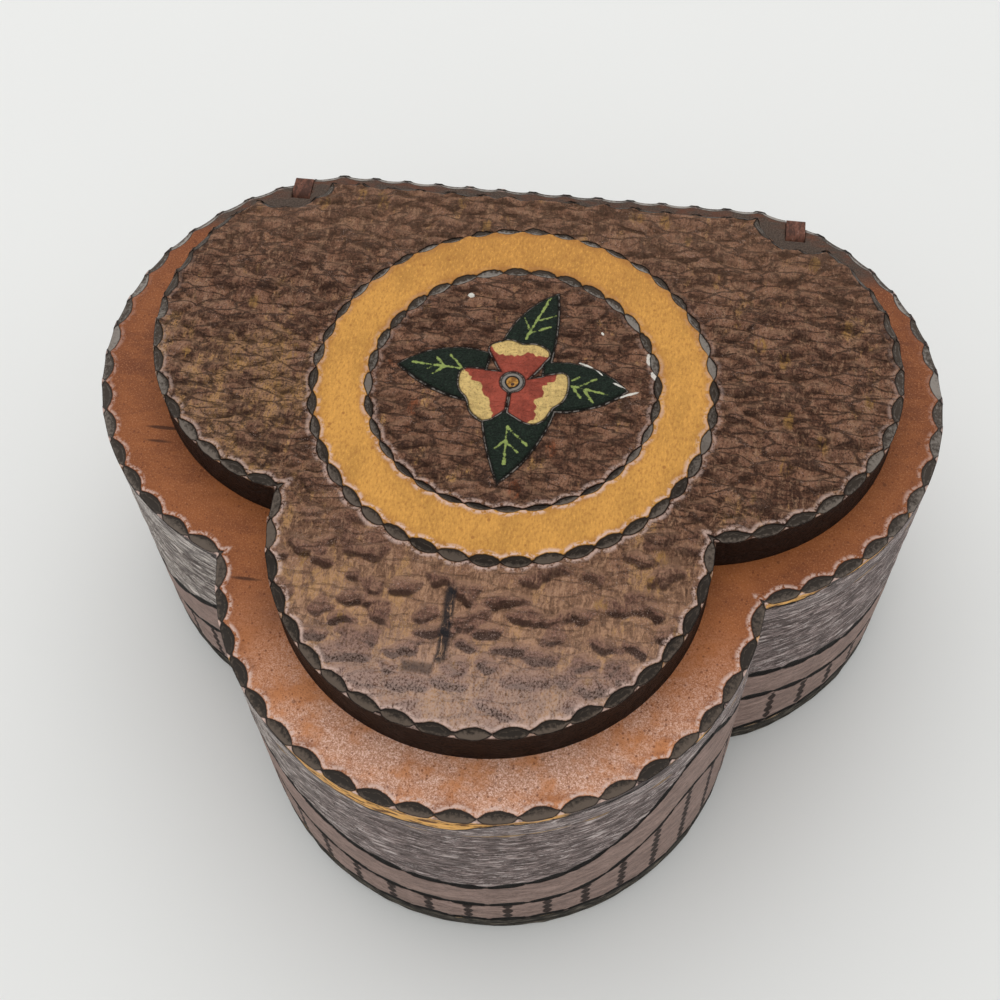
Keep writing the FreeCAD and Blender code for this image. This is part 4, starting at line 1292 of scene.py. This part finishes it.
def make_plaque(shape, carving, finish):
    """The carved plaque: a grid of rings and rays from the middle of its ring.

    The level is the top less the relief: lumps of bark outside the ring, a calmer
    ground round the flower, none on the ring, and a dip along each row of notches.
    """
    outline = plaque_lobes(shape)
    outer, inner = carving.ring_outer, carving.ring_inner
    angle = outline.stations(0.6)
    if len(angle) % 2:
        angle = np.insert(angle, 1, angle[:2].mean())
    columns = len(angle)
    radius = outline.reach(angle)[0]
    core, row, margin = 11.0, 1.2, 2.2  # radius of the coarser core; half a notch row; rim
    fixed = np.concatenate([np.linspace(core, inner - row, 42)[1:-1],
                            np.linspace(inner - row, inner + row, 9),
                            np.linspace(inner + row, outer - row, 7)[1:-1],
                            np.linspace(outer - row, outer + row, 9)])[:, None]
    bark = np.linspace(0.0, 1.0, 53)[1:, None] * (radius - margin - outer - row) + outer + row
    rim = radius - np.linspace(margin, 0.0, 10)[1:, None]
    disc = np.linspace(0.0, core, 36)[1:, None]
    half = angle[::2]
    big = np.concatenate([fixed + 0 * radius, bark, rim])
    x = np.concatenate([(disc * np.cos(half)).ravel(), (big * np.cos(angle)).ravel()])
    y = np.concatenate([(disc * np.sin(half)).ravel(), (big * np.sin(angle)).ravel()])
    fields = carve_plaque(x, y, outline, carving)
    x0, y0, nx, ny, run = outline.edge(angle)
    edge, seat = fields["level"][-columns:], LID_TOP - 0.1
    fall = np.linspace(1.0, 0.0, 13)[1:, None]
    side = seat + (edge - seat) * fall
    rough = 0.3 * (1 - scales(run / 3.4, side / 4.0, 41)) * smooth(1 - fall, 0, 0.1)
    rough = rough * smooth(fall, 0.0, 0.15)
    points = np.concatenate([place(x, y, fields["level"], shape),
                             place(x0 + nx * rough, y0 + ny * rough, side, shape),
                             place(x0 * 0.6, y0 * 0.6, seat, shape),
                             place(0.0, 0.0, np.array([PLAQUE_TOP - 0.3, seat]), shape)])
    first, last = len(disc) * len(half), len(points) - 2
    faces = [quads(len(disc), len(half))[:, ::-1],
             quads((last - first) // columns, columns, start=first)[:, ::-1],
             halving(first, first - len(half), len(half)),
             fan(last, 0, len(half)), fan(last + 1, last - columns, columns, flip=True)]
    piece = make_mesh("carved_plaque", points, faces,
                      [plaque_stain(finish, carving, shape.ring_x, shape.ring_y)])
    for name, values in fields.items():
        if name != "level":
            spare = {"notch": -9.0, "leaf": 9.0, "petal": 9.0, "heart": 9.0}.get(name, 0.0)
            mark(piece, **{name: np.concatenate([values, np.full(len(points) - len(x), spare)])})
    settle(piece, "lid", "plaque_wood", "lid_plaque")


def carve_plaque(x, y, outline, carving):
    """The plaque's level, and the numbers that its material reads, at points (x, y)."""
    outer, inner = carving.ring_outer, carving.ring_inner
    wide, long = carving.scale_width, carving.scale_length
    radius = np.hypot(x, y)
    notch, dip, facing, luck, depth = rim_notches(
        outline, x, y, carving.plaque_row, carving.plaque_half, carving.plaque_pitch, 0.55)
    luck = luck - 0.9 * smooth(y, -5.0, 25.0)
    turn = (np.arctan2(y, x) + math.pi) / TURN
    for ring, pitch, half in ((outer, carving.outer_pitch, carving.outer_half),
                              (inner, carving.inner_pitch, carving.inner_half)):
        end = swing(turn, TURN * ring, pitch)
        other, deeper, across = notch_row(end, radius - ring, half)
        luck = np.where(other > notch, lot(turn, TURN * ring, pitch), luck)
        facing = np.where(other > notch, -across * y / np.maximum(radius, 1.0), facing)
        notch, dip = np.maximum(notch, other), np.maximum(dip, deeper)
    on_disc = smooth(inner - radius, -0.2, 0.4)
    frontal = smooth(-y, 12.0, 34.0)
    missing = 0.08 + 0.3 * frontal + 0.1 * on_disc
    bark = scales(x / wide, y / long, 3, missing)
    behind = scales(x / wide, (y + 0.45) / long, 3, missing)
    ahead = scales(x / wide, (y - 0.45) / long, 3, missing)
    small = scales(x / 1.9, y / 1.5, 17, 0.2)
    half = (outer - inner) / 2
    ringed = smooth(np.abs(radius - (outer + inner) / 2), half - 0.4, half + 0.4)
    right, back = x + 0.1, y - 0.45  # from the flower's heart
    petal, tip = petals(right, back)
    leaf, vein = leaves(right, back)
    painted = np.minimum(petal, leaf)
    bared = smooth(painted, -0.2, 0.4)
    swell = cloud(x / 13.0, y / 13.0, 5)
    relief = (1 - bark) * 0.75 + 0.14 * (1 - small) + 0.3 * swell
    calm = (1 - on_disc) + 0.7 * on_disc * (0.2 + 0.8 * bared)
    depth_here = carving.bark_depth * relief * calm * ringed
    groove = 0.3 * np.exp(-(painted / 0.3) ** 2) * on_disc
    level = PLAQUE_TOP - depth_here - groove - carving.notch_depth * dip
    level = level - 0.2 * smooth(0.3 - depth, 0.0, 0.3)
    golden = 0.95 * frontal + 0.7 * np.exp(-((x + 50) / 12) ** 2 - ((y + 2) / 12) ** 2)
    golden = golden + 0.35 * np.exp(-((x - 57) / 5) ** 2 - ((y - 6) / 6) ** 2)
    patch = smooth(cloud(x / 8.0, y / 8.0, 8), 0.3, 0.8) * (0.08 + golden) * (1 - on_disc)
    patch = patch * (1 - 0.8 * smooth(bark, 0.1, 0.4))
    # Just in front of a higher lump the material paints shade; slope sets the lumps' painted light
    # and shade.
    return {"level": level, "height": bark * ringed + (1 - ringed),
            "crevice_shade": np.clip((behind - bark) / 0.6, 0.0, 1.0) * ringed,
            "slope": (ahead - behind) * ringed, "patch": patch,
            "notch": notch, "luck": luck, "facing": facing,
            "petal": petal, "tip": tip, "leaf": leaf, "vein": vein,
            "heart": np.hypot(right, back)}


# ---------------------------------------------------------------- stage


# The lamp's place in metres, and the way from what it lights to the lamp.
LAMP_AT, LAMP_WAY = (-0.12, 0.28, 0.85), (-0.12, 0.28, 0.80)
# The camera's place in metres, and its heading, tilt and roll in degrees.
CAMERA_AT, CAMERA_TURNS = (0.021916, -0.128215, 0.260914), (9.940, 31.082, -2.521)


def make_stage(finish):
    """Pale floor, a wide soft lamp above and behind, a pale world and the camera."""
    x = np.linspace(-2.5, 2.5, 3) / MM
    grid_x, grid_y = np.meshgrid(x, x)
    points = np.stack([grid_x, grid_y, np.zeros_like(grid_x)], -1).reshape(-1, 3)
    corner = np.array([0, 1, 3, 4])[:, None]
    faces = (corner + np.array([0, 1, 4, 3])).reshape(-1, 4)
    s = Shade("pale_floor", 0.9, 0.2)
    tone = s.mix(s.noise(0.01, 2.0), finish.floor * 0.97, finish.floor)
    floor = make_mesh("pale_floor", points, [faces], [s.finish(tone)])
    floor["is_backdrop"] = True

    lamp = bpy.data.lights.new("soft_lamp", "AREA")
    lamp.shape, lamp.size, lamp.size_y, lamp.energy = "RECTANGLE", 1.0, 0.8, 1.8
    light = bpy.data.objects.new("soft_lamp", lamp)
    light.location = LAMP_AT
    light.rotation_euler = Vector(LAMP_WAY).to_track_quat("Z", "Y").to_euler()
    bpy.context.scene.collection.objects.link(light)

    world = bpy.data.worlds.new("pale_world")
    world.use_nodes = True
    nodes, links = world.node_tree.nodes, world.node_tree.links
    ray = nodes.new("ShaderNodeLightPath")
    seen = nodes.new("ShaderNodeMapRange")
    seen.inputs["To Min"].default_value, seen.inputs["To Max"].default_value = 0.84, 0.86
    links.new(ray.outputs["Is Camera Ray"], seen.inputs["Value"])
    nodes["Background"].inputs["Color"].default_value = (1.0, 1.0, 1.0, 1.0)
    links.new(seen.outputs["Result"], nodes["Background"].inputs["Strength"])
    bpy.context.scene.world = world

    lens = bpy.data.cameras.new("camera")
    lens.lens, lens.sensor_width = 53.35, 36.0
    lens.clip_start, lens.clip_end = 0.005, 10.0
    camera = bpy.data.objects.new("camera", lens)
    heading, tilt, roll = (math.radians(turn) for turn in CAMERA_TURNS)
    turn = Euler((0, 0, heading)).to_matrix() @ Euler((tilt, 0, 0)).to_matrix()
    camera.rotation_euler = (turn @ Euler((0, 0, roll)).to_matrix()).to_euler()
    camera.location = CAMERA_AT
    bpy.context.scene.collection.objects.link(camera)
    bpy.context.scene.camera = camera
    bpy.context.scene.view_settings.view_transform = "Standard"


# ---------------------------------------------------------------- add-on


GROUPS = {"trinket_outline": BoxOutline, "trinket_carving": Carving, "trinket_finish": Finish}


def in_mm(group):
    """The group's lengths as plain numbers of millimetres."""
    return SimpleNamespace(**{name: getattr(group, name) / MM for name in group.__annotations__})


def settings(scene):
    """The outline and the carving in millimetres, and the colours."""
    return in_mm(scene.trinket_outline), in_mm(scene.trinket_carving), scene.trinket_finish


class TRINKET_OT_wall(bpy.types.Operator):
    """Makes the gouged wall and the bottom board"""

    bl_idname = "trinket.wall"
    bl_label = "Walls and foot"

    def execute(self, context):
        shape, carving, finish = settings(context.scene)
        make_foot(shape, finish)
        make_wall(shape, carving, finish)
        return {"FINISHED"}


class TRINKET_OT_lid(bpy.types.Operator):
    """Makes the orange lid board with its rim of burnt notches"""

    bl_idname = "trinket.lid"
    bl_label = "Lid board"

    def execute(self, context):
        make_lid(*settings(context.scene))
        return {"FINISHED"}


class TRINKET_OT_plaque(bpy.types.Operator):
    """Makes the carved plaque with its ring and painted flower"""

    bl_idname = "trinket.plaque"
    bl_label = "Plaque"

    def execute(self, context):
        make_plaque(*settings(context.scene))
        return {"FINISHED"}


class TRINKET_OT_hinges(bpy.types.Operator):
    """Gives the hinge pegs and their pins their wood and steel"""

    bl_idname = "trinket.hinges"
    bl_label = "Pegs and pins"

    def execute(self, context):
        wood, steel = peg_wood(context.scene.trinket_finish), pin_steel()
        for name, node in frame["nodes"].items():
            if name.startswith("hinge_"):
                node.data.materials.clear()
                node.data.materials.append(wood if "peg" in name else steel)
        return {"FINISHED"}


class TRINKET_OT_stage(bpy.types.Operator):
    """Makes the floor, the lights and the camera"""

    bl_idname = "trinket.stage"
    bl_label = "Stage"

    def execute(self, context):
        make_stage(context.scene.trinket_finish)
        return {"FINISHED"}


STEPS = (TRINKET_OT_wall, TRINKET_OT_lid, TRINKET_OT_plaque, TRINKET_OT_hinges,
         TRINKET_OT_stage)


class TRINKET_PT_panel(bpy.types.Panel):
    """Lists the pieces and their sizes in the sidebar"""

    bl_label = "Trinket box"
    bl_space_type = "VIEW_3D"
    bl_region_type = "UI"
    bl_category = "Trinket box"

    def draw(self, context):
        for step in STEPS:
            self.layout.operator(step.bl_idname)
        for name in GROUPS:
            box = self.layout.box()
            group = getattr(context.scene, name)
            for item in group.__annotations__:
                box.prop(group, item)


CLASSES = (*GROUPS.values(), *STEPS, TRINKET_PT_panel)


def register():
    """Adds the classes, and the settings to the scene."""
    for item in CLASSES:
        bpy.utils.register_class(item)
    for name, group in GROUPS.items():
        setattr(bpy.types.Scene, name, PointerProperty(type=group))


def unregister():
    """Takes the settings and the classes away again."""
    for name in GROUPS:
        delattr(bpy.types.Scene, name)
    for item in reversed(CLASSES):
        bpy.utils.unregister_class(item)


def corners():
    """The whole object's lowest and highest corner, as plain lists."""
    return [list(corner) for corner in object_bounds()]


def main():
    """Makes the whole box."""
    register()
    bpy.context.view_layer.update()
    bpy.ops.trinket.wall()
    bpy.ops.trinket.lid()
    bpy.ops.trinket.plaque()
    bpy.ops.trinket.hinges()
    bpy.ops.trinket.stage()


if __name__ == "__main__":
    main()
